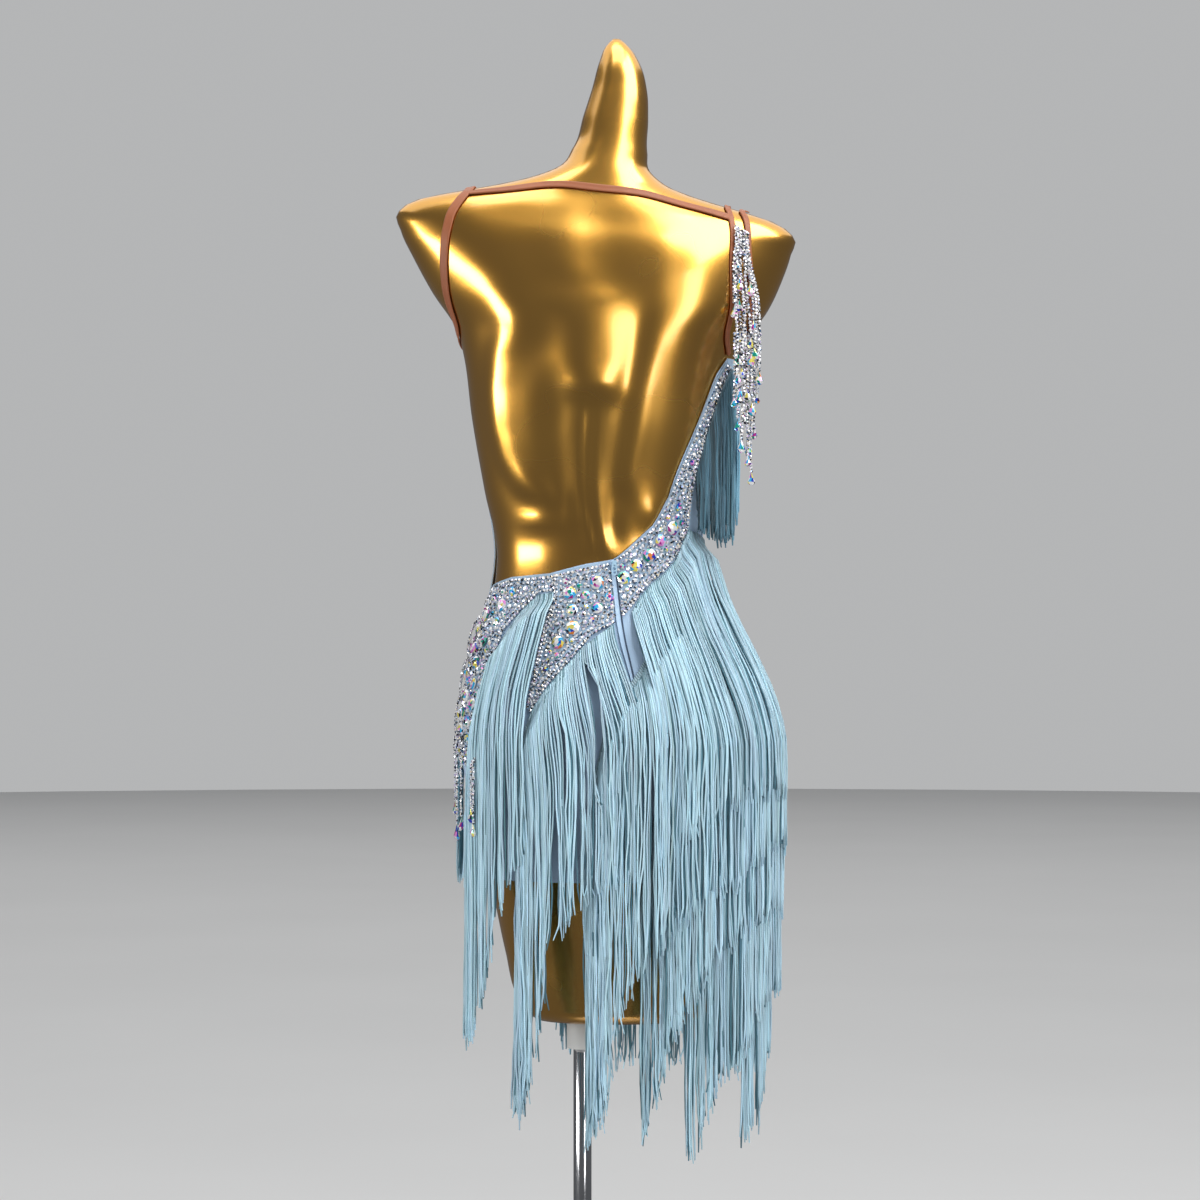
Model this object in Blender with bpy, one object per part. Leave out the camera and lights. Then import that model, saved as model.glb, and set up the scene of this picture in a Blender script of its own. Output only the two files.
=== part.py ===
"""A light blue salsa dance dress on a gold, limbless dress form and its stand.

Metres, +Z up. The wearer faces -Y, so the open back faces +Y and the wearer's left is +X.
The origin is on the floor, under the middle of the round base.

The form is a skin over level sections (FORM_SECTIONS). A place on it is an angle and a height:
0 degrees is the wearer's left side, 90 the middle of the back, 180 the right side, 270 the front.
Every piece of cloth is a wall over a patch of that skin, moved out by its own clearance.
"""

import math

import bpy
import numpy as np

MM = 0.001

# Stand
BASE_RADIUS = 165 * MM
BASE_THICK = 10 * MM
BASE_EDGE = 3 * MM
POLE_RADIUS = 9.5 * MM
SOCKET_RADIUS = 16.5 * MM
SOCKET_HEIGHT = 31 * MM
FORM_BOTTOM = 550 * MM
TOUCH_GAP = 0.3 * MM
ROUND_SIDES = 32

# Form: level sections in millimetres, from the flat bottom to the tip of the neck.
FORM_SECTIONS = (
    # height, centre x, centre y, half width, depth to the back, depth to the front
    (550, -36, 0, 84, 56, 58),
    (556, -36, 0, 94, 65, 66),
    (570, -36, 0, 103, 72, 72),
    (621, -36, 0, 117, 82, 80),
    (678, -35, 2, 128, 90, 86),
    (760, -36, 5, 149, 99, 92),
    (841, -36, 7, 160, 103, 96),
    (903, -30, 5, 147, 97, 97),
    (954, -23, 0, 129, 88, 95),
    (997, -20, -5, 114, 80, 88),
    (1036, -17, -7, 107, 76, 83),
    (1104, -12, -3, 115, 82, 86),
    (1177, -14, 2, 130, 90, 94),
    (1241, -17, 4, 142, 94, 102),
    (1263, -18, 5, 149, 94, 102),
    (1300, -18, 7, 175, 91, 96),
    (1335, -16, 9, 193, 83, 86),
    (1362, -14, 11, 204, 73, 75),
    (1381, -14, 13, 207, 62, 64),
    (1397, -13, 14, 181, 54, 56),
    (1408, -12, 14, 136, 49, 51),
    (1420, -14, 13, 88, 46, 47),
    (1436, -22, 11, 52, 43, 43),
    (1460, -29, 7, 39, 39, 39),
    (1495, -35, 1, 34, 35, 35),
    (1524, -39, -3, 29, 30, 30),
    (1554, -39, -6, 21, 22, 22),
    (1571, -37, -7, 12, 12, 12),
    (1579, -36, -7, 4, 4, 4),
)
SQUARENESS = 2.15
SHOULDER_ROLL = 0.063
ROLL_FROM, ROLL_TO = 1080 * MM, 1330 * MM
FORM_SIDES = 48
FORM_RINGS = (550, 556, 566, 585, 621, 660, 700, 740, 780, 815, 845, 875, 905, 940, 975, 1005, 1035, 1065, 1104,
              1145, 1185, 1210, 1235, 1260, 1285, 1310, 1338, 1362, 1381, 1397, 1408, 1420, 1436, 1460, 1500,
              1554, 1571)

# Soft swells and hollows of the form: middle angle and height, reach each way, rise (mm and degrees).
FORM_RELIEF = (
    (90, 1180, 6.5, 130, -6),
    (58, 1290, 15, 60, 5),
    (122, 1290, 15, 60, 5),
    (64, 835, 20, 62, 7),
    (116, 835, 20, 62, 7),
    (246, 1240, 19, 58, 19),
    (294, 1240, 19, 58, 19),
)

# Cloth: distances from the form's skin to a wall's two sides.
CLOTH = (1.5 * MM, 2.5 * MM)
OVERLAY = (3.6 * MM, 4.6 * MM)
STONE_RISE = 2.6 * MM
FULL_STONES = 22
SKIRT_HEM = 700
ZIP_ANGLE = 97.0
SEAM_TURN = 0.35

# A patch of cloth: a row for each station, from its lower or inner edge (a) to its upper or outer edge (b).
BACK_LEFT = (
    # angle a, height a, angle b, height b
    (2, SKIRT_HEM, 2, 992),
    (18, SKIRT_HEM, 18, 1006),
    (36, SKIRT_HEM, 36, 1012),
    (64, SKIRT_HEM, 64, 1016),
    (84, SKIRT_HEM, 84, 1026),
    (ZIP_ANGLE - SEAM_TURN, SKIRT_HEM, ZIP_ANGLE - SEAM_TURN, 1031),
)
BACK_RIGHT = (
    (ZIP_ANGLE + SEAM_TURN, SKIRT_HEM, ZIP_ANGLE + SEAM_TURN, 1032),
    (106, SKIRT_HEM, 106, 1035),
    (178, SKIRT_HEM, 178, 1010),
)
BODICE_SIDE = (
    (106, 1035.4, 106, 1044),
    (120, 1030.5, 120, 1066),
    (130.5, 1027, 130.5, 1096),
    (140.5, 1023.5, 140.5, 1160),
    (150, 1020.2, 150, 1228),
    (156, 1018, 156, 1246),
    (178, 1010.4, 178, 1246),
)
SKIRT_FRONT = (
    (178.2, SKIRT_HEM, 178.2, 1010),
    (270, SKIRT_HEM, 270, 1000),
    (361.8, SKIRT_HEM, 361.8, 990),
)
BODICE_FRONT = (
    (178.2, 1010.4, 361.8, 990.4),
    (178.2, 1060, 350, 1060),
    (178.2, 1140, 338, 1140),
    (178.2, 1200, 331, 1200),
    (178.2, 1246, 326, 1246),
    (204, 1276, 322, 1268),
    (222, 1300, 318, 1290),
)
# The stoned overlays
HIP_YOKE = (
    (66.2, 999, 66.2, 1016),
    (58, 998, 55, 1014),
    (47, 977, 38, 1012),
    (38, 957, 16, 1004),
    (34, 924, -4, 974),
    (31.5, 888, -9, 930),
    (30.5, 860, -10, 880),
    (27, 815, -10, 832),
)
BACK_LEFT_YOKE = (
    (59.2, 874, 58.2, 878),
    (65.5, 902, 61, 926),
    (76.5, 932, 63.5, 958),
    (85, 954, 66.9, 988),
    (89.5, 960, 67.1, 1016),
    (ZIP_ANGLE - 2.4, 967, ZIP_ANGLE - 2.4, 1029),
)
BACK_RIGHT_YOKE = (
    (ZIP_ANGLE + 0.6, 972, ZIP_ANGLE + 0.6, 1032),
    (102, 981, 106, 1044),
    (107, 994, 114, 1056),
    (114.5, 1008, 120.5, 1066),
    (124.5, 1020, 125.5, 1082),
    (136, 1040, 130.5, 1096),
    (146, 1066, 136, 1128),
    (148, 1130, 140.5, 1160),
    (149.5, 1180, 144.5, 1194),
    (154.5, 1216, 149.5, 1224),
    (159, 1238, 154.5, 1243),
)
ZIP_PLACKET = (
    (ZIP_ANGLE - 1.9, 1030, ZIP_ANGLE + 0.1, 1031),
    (ZIP_ANGLE - 1.9, 968, ZIP_ANGLE + 0.1, 970),
    (ZIP_ANGLE - 2.6, 940, ZIP_ANGLE + 0.3, 941),
    (ZIP_ANGLE - 1.6, 905, ZIP_ANGLE + 0.6, 906),
)

# Fringe: each row of strands hangs from a tape whose lower edge runs through these places.
TAPE_HEIGHT = 8 * MM
TAPE_THICK = 1.0 * MM
LOCK_SHARE = 0.74
LOCK_THICK = 1.0 * MM
RING_LEVELS = (1000 * MM, 925 * MM, 882 * MM, 840 * MM)
SHORTEST_FALL = 20 * MM
FIRST_FALL = 18 * MM
LEAN_FALL = 200 * MM
TIP_SHARE = 0.6
MM_PER_DEGREE = 2.25
BODICE = (2.7 * MM, 3.7 * MM)
FRINGE_ROWS = {
    # name: (locks, tape's and locks' distances off the skin in mm, lean at the two ends in degrees, places),
    # each place being an angle, the height of the tape's lower edge and the height of the tips
    "fringe_hip_left": (11, 3.6, 19.5, (0, -6), (
        (27, 800, 540), (31, 845, 563), (33, 875, 590), (36, 908, 641), (40, 940, 671), (47, 963, 689),
        (57, 984, 708), (64.5, 987, 731))),
    "fringe_back_left": (12, 4.5, 16.9, (0, 4), (
        (54, 762, 464), (57, 805, 490), (60, 855, 540), (65.5, 888, 568), (72, 907, 640), (79.5, 926, 668),
        (86, 944, 688), (93.6, 954, 697))),
    "fringe_back_right": (13, 4.5, 16.9, (4, 0), (
        (98.5, 960, 684), (102.5, 968, 700), (107.5, 982, 714), (115, 996, 744), (125, 1008, 765),
        (137, 1028, 779), (146.5, 1054, 783), (158, 1050, 783), (170, 1044, 780))),
    "fringe_tier_1": (22, 4.6, 14.5, (0, 0), (
        (79, 736, 432), (84, 760, 455), (88, 800, 495), (93, 858, 550), (98, 898, 600),
        (103.5, 918, 617), (108, 933, 636), (115.5, 953, 666), (122, 965, 680), (136, 983, 691), (159, 995, 715),
        (177, 1000, 720), (194, 985, 700))),
    "fringe_tier_2": (19, 4.5, 11.7, (0, 0), (
        (97, 737, 432), (100, 742, 434), (103, 758, 454), (106, 795, 500), (109.5, 830, 543), (114, 857, 565),
        (120, 880, 590), (128, 903, 625), (140, 915, 636), (152, 923, 645), (177, 930, 652), (194, 922, 640))),
    "fringe_tier_3": (13, 3.0, 9.1, (0, 0), (
        (117, 718, 415), (124, 722, 418), (128, 747, 450), (134, 780, 480), (141, 801, 497), (150, 832, 540),
        (165, 845, 560), (180, 850, 565), (194, 845, 560))),
    "fringe_tier_4": (9, 3.0, 6.5, (0, 0), (
        (152, 719, 414), (160, 732, 427), (168, 745, 440), (180, 770, 470), (194, 780, 480))),
    "fringe_front_upper": (26, 3.0, 11.7, (0, 0), (
        (200, 905, 610), (235, 893, 598), (270, 888, 592), (291, 884, 604), (312, 880, 690), (346, 872, 694))),
    "fringe_front_lower": (26, 3.0, 6.5, (0, 0), (
        (200, 775, 480), (235, 782, 488), (270, 776, 482), (291, 780, 505), (312, 784, 684), (352, 780, 690))),
    "fringe_bust": (16, 4.5, 8.0, (0, 0), (
        (150, 1126, 1058), (151.5, 1172, 1055), (156, 1206, 1052), (161, 1228, 1056), (181, 1222, 1064),
        (200, 1226, 1068), (225, 1228, 1072), (262, 1218, 1064))),
}

# Straps: tan elastic strips over the skin, through places given as angle and height in millimetres.
STRAP = (1.3 * MM, 2.3 * MM)
STRAP_STEP = 13 * MM
STRAPS = {
    # name: (width in mm, places)
    "strap_neck": (8.5, (
        (41.8, 1402.5), (49.5, 1406), (67, 1415), (92.5, 1414), (114, 1411), (123.5, 1402), (132.6, 1394))),
    "strap_left": (10.5, (
        (317.5, 1292.5), (311, 1320), (309, 1350), (307, 1380), (320, 1402), (0, 1410), (37, 1402), (46, 1380),
        (42.5, 1358), (36, 1332), (27.5, 1304), (17.5, 1280), (10, 1264), (355, 1253), (340, 1246),
        (330.5, 1242))),
    "strap_right": (10.5, (
        (157.4, 1248.5), (148, 1268), (140.5, 1294), (132.5, 1346), (131, 1378), (137, 1395), (147, 1402),
        (180, 1407), (211, 1402), (228, 1380), (228, 1350), (226, 1320), (222.5, 1303))),
    "strap_right_arm": (8.5, (
        (180, 1402.6), (150, 1399), (144, 1394), (137.5, 1380), (139, 1360), (143, 1335), (152, 1300),
        (168, 1279), (180, 1268), (188, 1264))),
}

# Drops at the ends of the chains: belly's place in the length, shares of the chain's width.
DROP_BELLY = 0.4
DROP_SWELL = 1.7
DROP_POINT = 0.3

# Crystal chains on the shoulder, against the back of the form: middle of each strand, its end, in mm.
SHOULDER_CHAINS = ((-161, 1281), (-167, 1173), (-173, 1241), (-179, 1116), (-185, 1183), (-191, 1216))
CHAIN_TOP = 1370 * MM
CHAIN_STRIP = 6 * MM
CHAIN_WIDTH = 3.2 * MM
CHAIN_STEP = 38 * MM
CHAIN_OFF = (4.2 * MM, 7.2 * MM)
DROP_LENGTH = 15 * MM
DROP_WIDTH = 4.8 * MM
HIP_CHAINS = (4, 3.0, 7.5, (0, 0), ((4, 812, 754), (13, 808, 762), (23, 803, 756)))
HIP_CHAIN_SHARE = 0.42

# Concealed zip: slider at the top of the seam, its pull tab hinged on top.
SLIDER_HEIGHT_AT = 1025
SLIDER_SIZE = (4.4 * MM, 8.0 * MM)
SLIDER_OFF = (5.0 * MM, 7.4 * MM)
PULL_SIZE = (5.6 * MM, 11.8 * MM)
PULL_ABOVE_HINGE = 0.4 * MM
PULL_OFF = (7.8 * MM, 8.8 * MM)


def make_material(name, colour, roughness, metallic=0.0):
    material = bpy.data.materials.new(name)
    material.use_nodes = True
    shader = material.node_tree.nodes["Principled BSDF"]
    shader.inputs["Base Color"].default_value = (*colour, 1.0)
    shader.inputs["Roughness"].default_value = roughness
    shader.inputs["Metallic"].default_value = metallic
    return material


def add_object(name, points, faces, material, smooth=True):
    """One closed mesh object, its faces turned outwards."""
    mesh = bpy.data.meshes.new(name)
    mesh.from_pydata([tuple(point) for point in points], [], faces)
    mesh.materials.append(material)
    mesh.update()
    corners = np.array([point for point in points])
    volume = 0.0
    for face in faces:
        fan = corners[list(face)]
        for second, third in zip(fan[1:-1], fan[2:]):
            volume += np.dot(fan[0], np.cross(second, third))
    if volume < 0:
        mesh.flip_normals()
    if smooth:
        mesh.shade_smooth()
        mesh.set_sharp_from_angle(angle=math.radians(40))
    made = bpy.data.objects.new(name, mesh)
    bpy.context.scene.collection.objects.link(made)
    return made


def smooth_column(heights, values, wanted):
    """Cubic curve through a column of the section table."""
    slopes = np.gradient(values, heights)
    row = np.clip(np.searchsorted(heights, wanted) - 1, 0, len(heights) - 2)
    step = heights[row + 1] - heights[row]
    t = np.clip((wanted - heights[row]) / step, 0, 1)
    rise = values[row + 1] - values[row]
    return (
        values[row]
        + t * step * slopes[row]
        + t**2 * (3 * rise - step * (2 * slopes[row] + slopes[row + 1]))
        + t**3 * (step * (slopes[row] + slopes[row + 1]) - 2 * rise)
    )


def ease(t):
    t = np.clip(t, 0, 1)
    return t * t * (3 - 2 * t)


def form_point(angle, height):
    """The form's skin at an angle in degrees and a height in metres, as arrays of one shape."""
    angle, height = np.broadcast_arrays(np.asarray(angle, float), np.asarray(height, float))
    table = np.array(FORM_SECTIONS, float).T * MM
    centre_x, centre_y, half_width, back, front = (
        smooth_column(table[0], column, height) for column in table[1:]
    )
    turn = np.radians(angle)
    across, along = np.cos(turn), np.sin(turn)
    depth = np.where(along > 0, back, front)
    x = half_width * np.sign(across) * np.abs(across) ** (2 / SQUARENESS)
    y = depth * np.sign(along) * np.abs(along) ** (2 / SQUARENESS)
    for middle, level, angle_reach, height_reach, rise in FORM_RELIEF:
        off_angle = (angle - middle + 180) % 360 - 180
        swell = np.exp(-((off_angle / angle_reach) ** 2) - ((height / MM - level) / height_reach) ** 2)
        x = x + across * rise * MM * swell
        y = y + along * rise * MM * swell
    roll = SHOULDER_ROLL * ease((height - ROLL_FROM) / (ROLL_TO - ROLL_FROM))
    return np.stack([centre_x + x, centre_y + y, height + x * roll], axis=-1)


def form_normal(angle, height):
    """Outward unit normal of the skin, from small steps round and up."""
    round_step, up_step = 0.5, 1 * MM
    round_way = form_point(angle + round_step, height) - form_point(angle - round_step, height)
    up_way = form_point(angle, height + up_step) - form_point(angle, height - up_step)
    normal = np.cross(round_way, up_way)
    return normal / np.linalg.norm(normal, axis=-1, keepdims=True)


def off_form(angle, height, clearance):
    angle, height = np.asarray(angle, float), np.asarray(height, float)
    clearance = np.asarray(clearance, float)
    return form_point(angle, height) + form_normal(angle, height) * clearance[..., None]


def quad_grid(rows, columns, start=0):
    """Corner numbers of the quads of a grid stored row by row."""
    return [
        (start + row * columns + column, start + row * columns + column + 1,
         start + (row + 1) * columns + column + 1, start + (row + 1) * columns + column)
        for row in range(rows - 1) for column in range(columns - 1)
    ]


def shell(name, outer, inner, material):
    """A closed wall between two grids of points of one shape (rows, columns, 3)."""
    rows, columns = outer.shape[:2]
    count = rows * columns
    points = np.concatenate([outer.reshape(-1, 3), inner.reshape(-1, 3)])
    faces = quad_grid(rows, columns)
    faces += [(a, d, c, b) for a, b, c, d in quad_grid(rows, columns, count)]
    last_row = (rows - 1) * columns
    rim = [*range(columns), *range(2 * columns - 1, count, columns),
           *range(count - 2, last_row - 1, -1), *range(last_row - columns, 0, -columns)]
    for here, there in zip(rim, rim[1:] + rim[:1]):
        faces.append((there, here, here + count, there + count))
    return add_object(name, points, faces, material)


def station_grid(stations, spacing, across):
    """Angles and heights over a patch: each pair of stations is split into steps of about the spacing, in mm."""
    table = np.array(stations, float)
    rows = [table[0]]
    for here, there in zip(table[:-1], table[1:]):
        turn = max(abs(there[0] - here[0]), abs(there[2] - here[2])) * MM_PER_DEGREE
        climb = max(abs(there[1] - here[1]), abs(there[3] - here[3])) if turn < spacing else 0
        steps = max(1, math.ceil(max(turn, climb) / spacing - 0.2))
        rows += [here + (there - here) * step / steps for step in range(1, steps + 1)]
    rows = np.array(rows)
    share = np.linspace(0, 1, across + 1)
    angle = rows[:, :1] * (1 - share) + rows[:, 2:3] * share
    height = rows[:, 1:2] * (1 - share) + rows[:, 3:4] * share
    return angle, height * MM


def wall(name, stations, spacing, across, sides, material, stones=False):
    angle, height = station_grid(stations, spacing, across)
    outer_side = np.full(angle.shape, sides[1])
    if stones:
        breadth = np.hypot((angle[:, -1] - angle[:, 0]) * MM_PER_DEGREE, (height[:, -1] - height[:, 0]) / MM)
        rise = STONE_RISE * np.clip(breadth / FULL_STONES, 0, 1)
        outer_side[1:-1:2, 1:-1:2] += rise[1:-1:2, None]
    return shell(name, off_form(angle, height, outer_side), off_form(angle, height, np.full(angle.shape, sides[0])),
                 material)


# Opposite sides of a strand's ring, so that both are split along the same slant.
FACE_PAIRS = ((0, 1, 2, 3), (1, 2, 3, 0))


def add_strands(name, tape, strands, material):
    """A strip with strands fused to its lower rim, as one closed body.

    tape: (4, 2n, 3) points: top outer, top inner, low outer, low inner, at each edge of each strand.
    strands: for each strand a list of rings of 4 points: outer first and last, inner last and first.
    """
    edges = tape.shape[1]
    points = list(tape.reshape(-1, 3))
    top_out, top_in, low_out, low_in = (np.arange(edges) + edges * row for row in range(4))
    faces = [(top_out[0], low_out[0], low_in[0], top_in[0]),
             (top_out[-1], top_in[-1], low_in[-1], low_out[-1])]
    for here in range(edges - 1):
        there = here + 1
        faces.append((top_out[here], top_out[there], low_out[there], low_out[here]))
        faces.append((top_in[here], low_in[here], low_in[there], top_in[there]))
        faces.append((top_out[there], top_out[here], top_in[here], top_in[there]))
        if here % 2:
            faces.append((low_out[here], low_out[there], low_in[there], low_in[here]))
    for number, rings in enumerate(strands):
        first = 2 * number
        ring = [low_out[first], low_out[first + 1], low_in[first + 1], low_in[first]]
        for corners in rings:
            start = len(points)
            points += list(corners)
            below = [start, start + 1, start + 2, start + 3]
            for one, two, three, four in FACE_PAIRS:
                faces.append((ring[one], ring[two], below[two]))
                faces.append((ring[one], below[two], below[one]))
                faces.append((ring[four], below[three], ring[three]))
                faces.append((ring[four], below[four], below[three]))
            ring = below
        faces.append(tuple(ring))
    return add_object(name, points, [tuple(int(corner) for corner in face) for face in faces], material)


def hanging(angle, level, hang, clearance):
    """A point off the skin at a level; below the hang height it stays plumb under it."""
    point = off_form(angle, max(level, hang), clearance)
    return np.array([point[0], point[1], level])


def ring_levels(root):
    """Levels of a strand's rings below its root; the lower ones are shared by all rows."""
    first = root - FIRST_FALL
    return [first] + [level for level in RING_LEVELS if level < first - SHORTEST_FALL]


def fringe(name, row, material, share=LOCK_SHARE, drop=False, free=False):
    """A row of locks under a tape, as in FRINGE_ROWS; a free row hangs plumb from its tape."""
    count, seat, reach, leans, places = row
    table = np.array(places, float)
    pitch = (table[-1, 0] - table[0, 0]) / (count - 1 + share)
    edges = np.array([table[0, 0] + (number + part) * pitch for number in range(count) for part in (0, share)])
    heights = np.interp(edges, table[:, 0], table[:, 1]) * MM
    tips = np.interp(edges, table[:, 0], table[:, 2]) * MM
    low, high = seat * MM, seat * MM + TAPE_THICK
    tape = np.array([
        off_form(edges, heights + rise, np.full(edges.shape, side))
        for rise, side in ((TAPE_HEIGHT, high), (TAPE_HEIGHT, low), (0, high), (0, low))
    ])
    strands = []
    for number in range(count):
        left, right = edges[2 * number], edges[2 * number + 1]
        middle = (left + right) / 2
        root = min(heights[2 * number], heights[2 * number + 1])
        tip = (tips[2 * number] + tips[2 * number + 1]) / 2
        hang = root if free else min(RING_LEVELS[-1], root)
        lean_full = leans[0] + (leans[1] - leans[0]) * number / max(count - 1, 1)
        levels = [root - FIRST_FALL] if free else ring_levels(root)
        sizes = [1.0] * len(levels) + [TIP_SHARE]
        levels = levels + [tip]
        if drop:
            levels = levels[:-1] + [tip + DROP_LENGTH, tip + DROP_LENGTH * DROP_BELLY, tip]
            sizes = sizes[:-1] + [1.0, DROP_SWELL, DROP_POINT]
        rings = []
        for level, size in zip(levels, sizes):
            lean = lean_full * ease((root - level) / LEAN_FALL)
            near, far = reach * MM, reach * MM + LOCK_THICK * max(size, 1.0)
            low = middle + (left - middle) * size + lean
            high = middle + (right - middle) * size + lean
            rings.append([hanging(low, level, hang, far), hanging(high, level, hang, far),
                          hanging(high, level, hang, near), hanging(low, level, hang, near)])
        strands.append(rings)
    return add_strands(name, tape, strands, material)


def skin_sample():
    """A dense sample of the skin and its normals, for laying straps and chains on it."""
    angle, height = np.meshgrid(np.arange(0, 360, 1.0), np.arange(1090 * MM, 1440 * MM, 2 * MM))
    return form_point(angle, height).reshape(-1, 3), form_normal(angle, height).reshape(-1, 3)


def laid_on(places, skin, clearance):
    """Places moved onto the skin's tangent plane beside them, then off it, with the normals there."""
    points, normals = skin
    laid = []
    ups = []
    for place in places:
        near = int(np.argmin(((points - place) ** 2).sum(-1)))
        normal = normals[near]
        laid.append(place - normal * np.dot(place - points[near], normal) + normal * clearance)
        ups.append(normal)
    return np.array(laid), np.array(ups)


def strap(name, width, places, skin, material):
    """An elastic strip over the skin through its places."""
    table = np.array(places, float)
    knots = form_point(table[:, 0], table[:, 1] * MM)
    reach = np.concatenate([[0], np.cumsum(np.linalg.norm(np.diff(knots, axis=0), axis=1))])
    steps = max(2, round(reach[-1] / STRAP_STEP))
    wanted = np.linspace(0, reach[-1], steps + 1)
    route = np.stack([smooth_column(reach, column, wanted) for column in knots.T], axis=-1)
    middle, normals = laid_on(route, skin, 0)
    along = np.gradient(middle, axis=0)
    aside = np.cross(along, normals)
    aside *= width * MM / 2 / np.linalg.norm(aside, axis=1, keepdims=True)
    sides = [[laid_on(middle + aside * way, skin, off)[0] for way in (-1, 0, 1)] for off in STRAP]
    return shell(name, np.stack(sides[1], axis=1), np.stack(sides[0], axis=1), material)


def back_face(x, level, skin):
    """How far the skin reaches to the back at an x and a level, or None beside the form."""
    points = skin[0]
    near = (np.abs(points[:, 0] - x) < 3 * MM) & (np.abs(points[:, 2] - level) < 2.5 * MM) & (points[:, 1] > 0)
    return points[near, 1].max() if near.any() else None


def shoulder_chains(skin, material):
    """Strands of crystal that fall plumb down the back of the right shoulder and past it."""
    edges, tape_y, strands = [], [], []
    for x, end in SHOULDER_CHAINS:
        middle, end = x * MM, end * MM
        depth = back_face(middle, CHAIN_TOP, skin)
        tape_y.append(max(depth, back_face(middle, CHAIN_TOP - CHAIN_STRIP, skin)))
        edges.append(middle)
        levels = list(np.arange(CHAIN_TOP - CHAIN_STRIP - CHAIN_STEP, end + DROP_LENGTH * 1.5, -CHAIN_STEP))
        levels += [end + DROP_LENGTH, end + DROP_LENGTH * DROP_BELLY, end]
        sizes = [1.0] * (len(levels) - 2) + [DROP_WIDTH / CHAIN_WIDTH, DROP_POINT]
        rings = []
        for level, size in zip(levels, sizes):
            depth = max(depth, back_face(middle, level, skin) or 0)
            half = CHAIN_WIDTH / 2 * size
            near, far = depth + CHAIN_OFF[0], depth + CHAIN_OFF[1]
            rings.append([(middle + half, far, level), (middle - half, far, level),
                          (middle - half, near, level), (middle + half, near, level)])
        strands.append(rings)
    xs = np.array([x + side * CHAIN_WIDTH / 2 for x in edges for side in (1, -1)])
    ys = np.repeat(tape_y, 2)
    tape = np.array([
        np.stack([xs, ys + off, np.full(xs.shape, level)], axis=-1)
        for level, off in ((CHAIN_TOP, CHAIN_OFF[1]), (CHAIN_TOP, CHAIN_OFF[0]),
                           (CHAIN_TOP - CHAIN_STRIP, CHAIN_OFF[1]), (CHAIN_TOP - CHAIN_STRIP, CHAIN_OFF[0]))
    ])
    return add_strands("chains_shoulder", tape, strands, material)


def turned(name, profile, material, sides=ROUND_SIDES):
    """A round solid from (radius, height) pairs, top and bottom closed flat."""
    turn = np.linspace(0, 2 * math.pi, sides, endpoint=False)
    points = [(radius * math.cos(a), radius * math.sin(a), height) for radius, height in profile for a in turn]
    faces = []
    for row in range(len(profile) - 1):
        for side in range(sides):
            after = (side + 1) % sides
            faces.append((row * sides + side, row * sides + after, (row + 1) * sides + after,
                          (row + 1) * sides + side))
    faces.append(tuple(reversed(range(sides))))
    faces.append(tuple(range((len(profile) - 1) * sides, len(profile) * sides)))
    return add_object(name, np.array(points), faces, material)


def stand(steel, socket_white):
    turned("stand_base", ((BASE_RADIUS, 0), (BASE_RADIUS, BASE_THICK - BASE_EDGE),
                          (BASE_RADIUS - BASE_EDGE, BASE_THICK)), steel)
    socket_low = FORM_BOTTOM - TOUCH_GAP - SOCKET_HEIGHT
    turned("stand_pole", ((POLE_RADIUS, BASE_THICK + TOUCH_GAP), (POLE_RADIUS, socket_low - TOUCH_GAP)), steel)
    turned("form_socket", ((SOCKET_RADIUS, socket_low), (SOCKET_RADIUS, FORM_BOTTOM - TOUCH_GAP)), socket_white)


def form(material):
    heights = np.array(FORM_RINGS) * MM
    turn = np.linspace(0, 360, FORM_SIDES, endpoint=False)
    rings = form_point(turn[None, :], heights[:, None])
    tip = form_point(0.0, FORM_SECTIONS[-1][0] * MM)
    tip[0] = FORM_SECTIONS[-1][1] * MM
    points = np.concatenate([rings.reshape(-1, 3), tip[None]])
    faces = [tuple(reversed(range(FORM_SIDES)))]
    for row in range(len(heights) - 1):
        for side in range(FORM_SIDES):
            after = (side + 1) % FORM_SIDES
            faces.append((row * FORM_SIDES + side, row * FORM_SIDES + after,
                          (row + 1) * FORM_SIDES + after, (row + 1) * FORM_SIDES + side))
    last = (len(heights) - 1) * FORM_SIDES
    for side in range(FORM_SIDES):
        faces.append((last + side, last + (side + 1) % FORM_SIDES, len(points) - 1))
    return add_object("form_torso", points, faces, material)


def zip_frame():
    """Middle of the zip's top on the skin, with its outward, sideways and upward directions."""
    place = form_point(ZIP_ANGLE, SLIDER_HEIGHT_AT * MM)
    outward = form_normal(ZIP_ANGLE, SLIDER_HEIGHT_AT * MM)
    outward[0] = 0.0
    outward /= np.linalg.norm(outward)
    aside = np.array([1.0, 0.0, 0.0])
    return place, outward, aside, np.cross(aside, outward)


def zip_box(name, size, off, low, material):
    """A small flat box off the zip's seam; low is how far its lower end lies under the hinge line."""
    place, outward, aside, upward = zip_frame()
    points = [
        place + outward * depth + aside * side * size[0] / 2 + upward * (rise - low)
        for depth in off for rise in (0, size[1]) for side in (-1, 1)
    ]
    faces = [(0, 1, 3, 2), (4, 6, 7, 5), (0, 4, 5, 1), (2, 3, 7, 6), (0, 2, 6, 4), (1, 5, 7, 3)]
    return add_object(name, np.array(points), faces, material, smooth=False)


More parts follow.
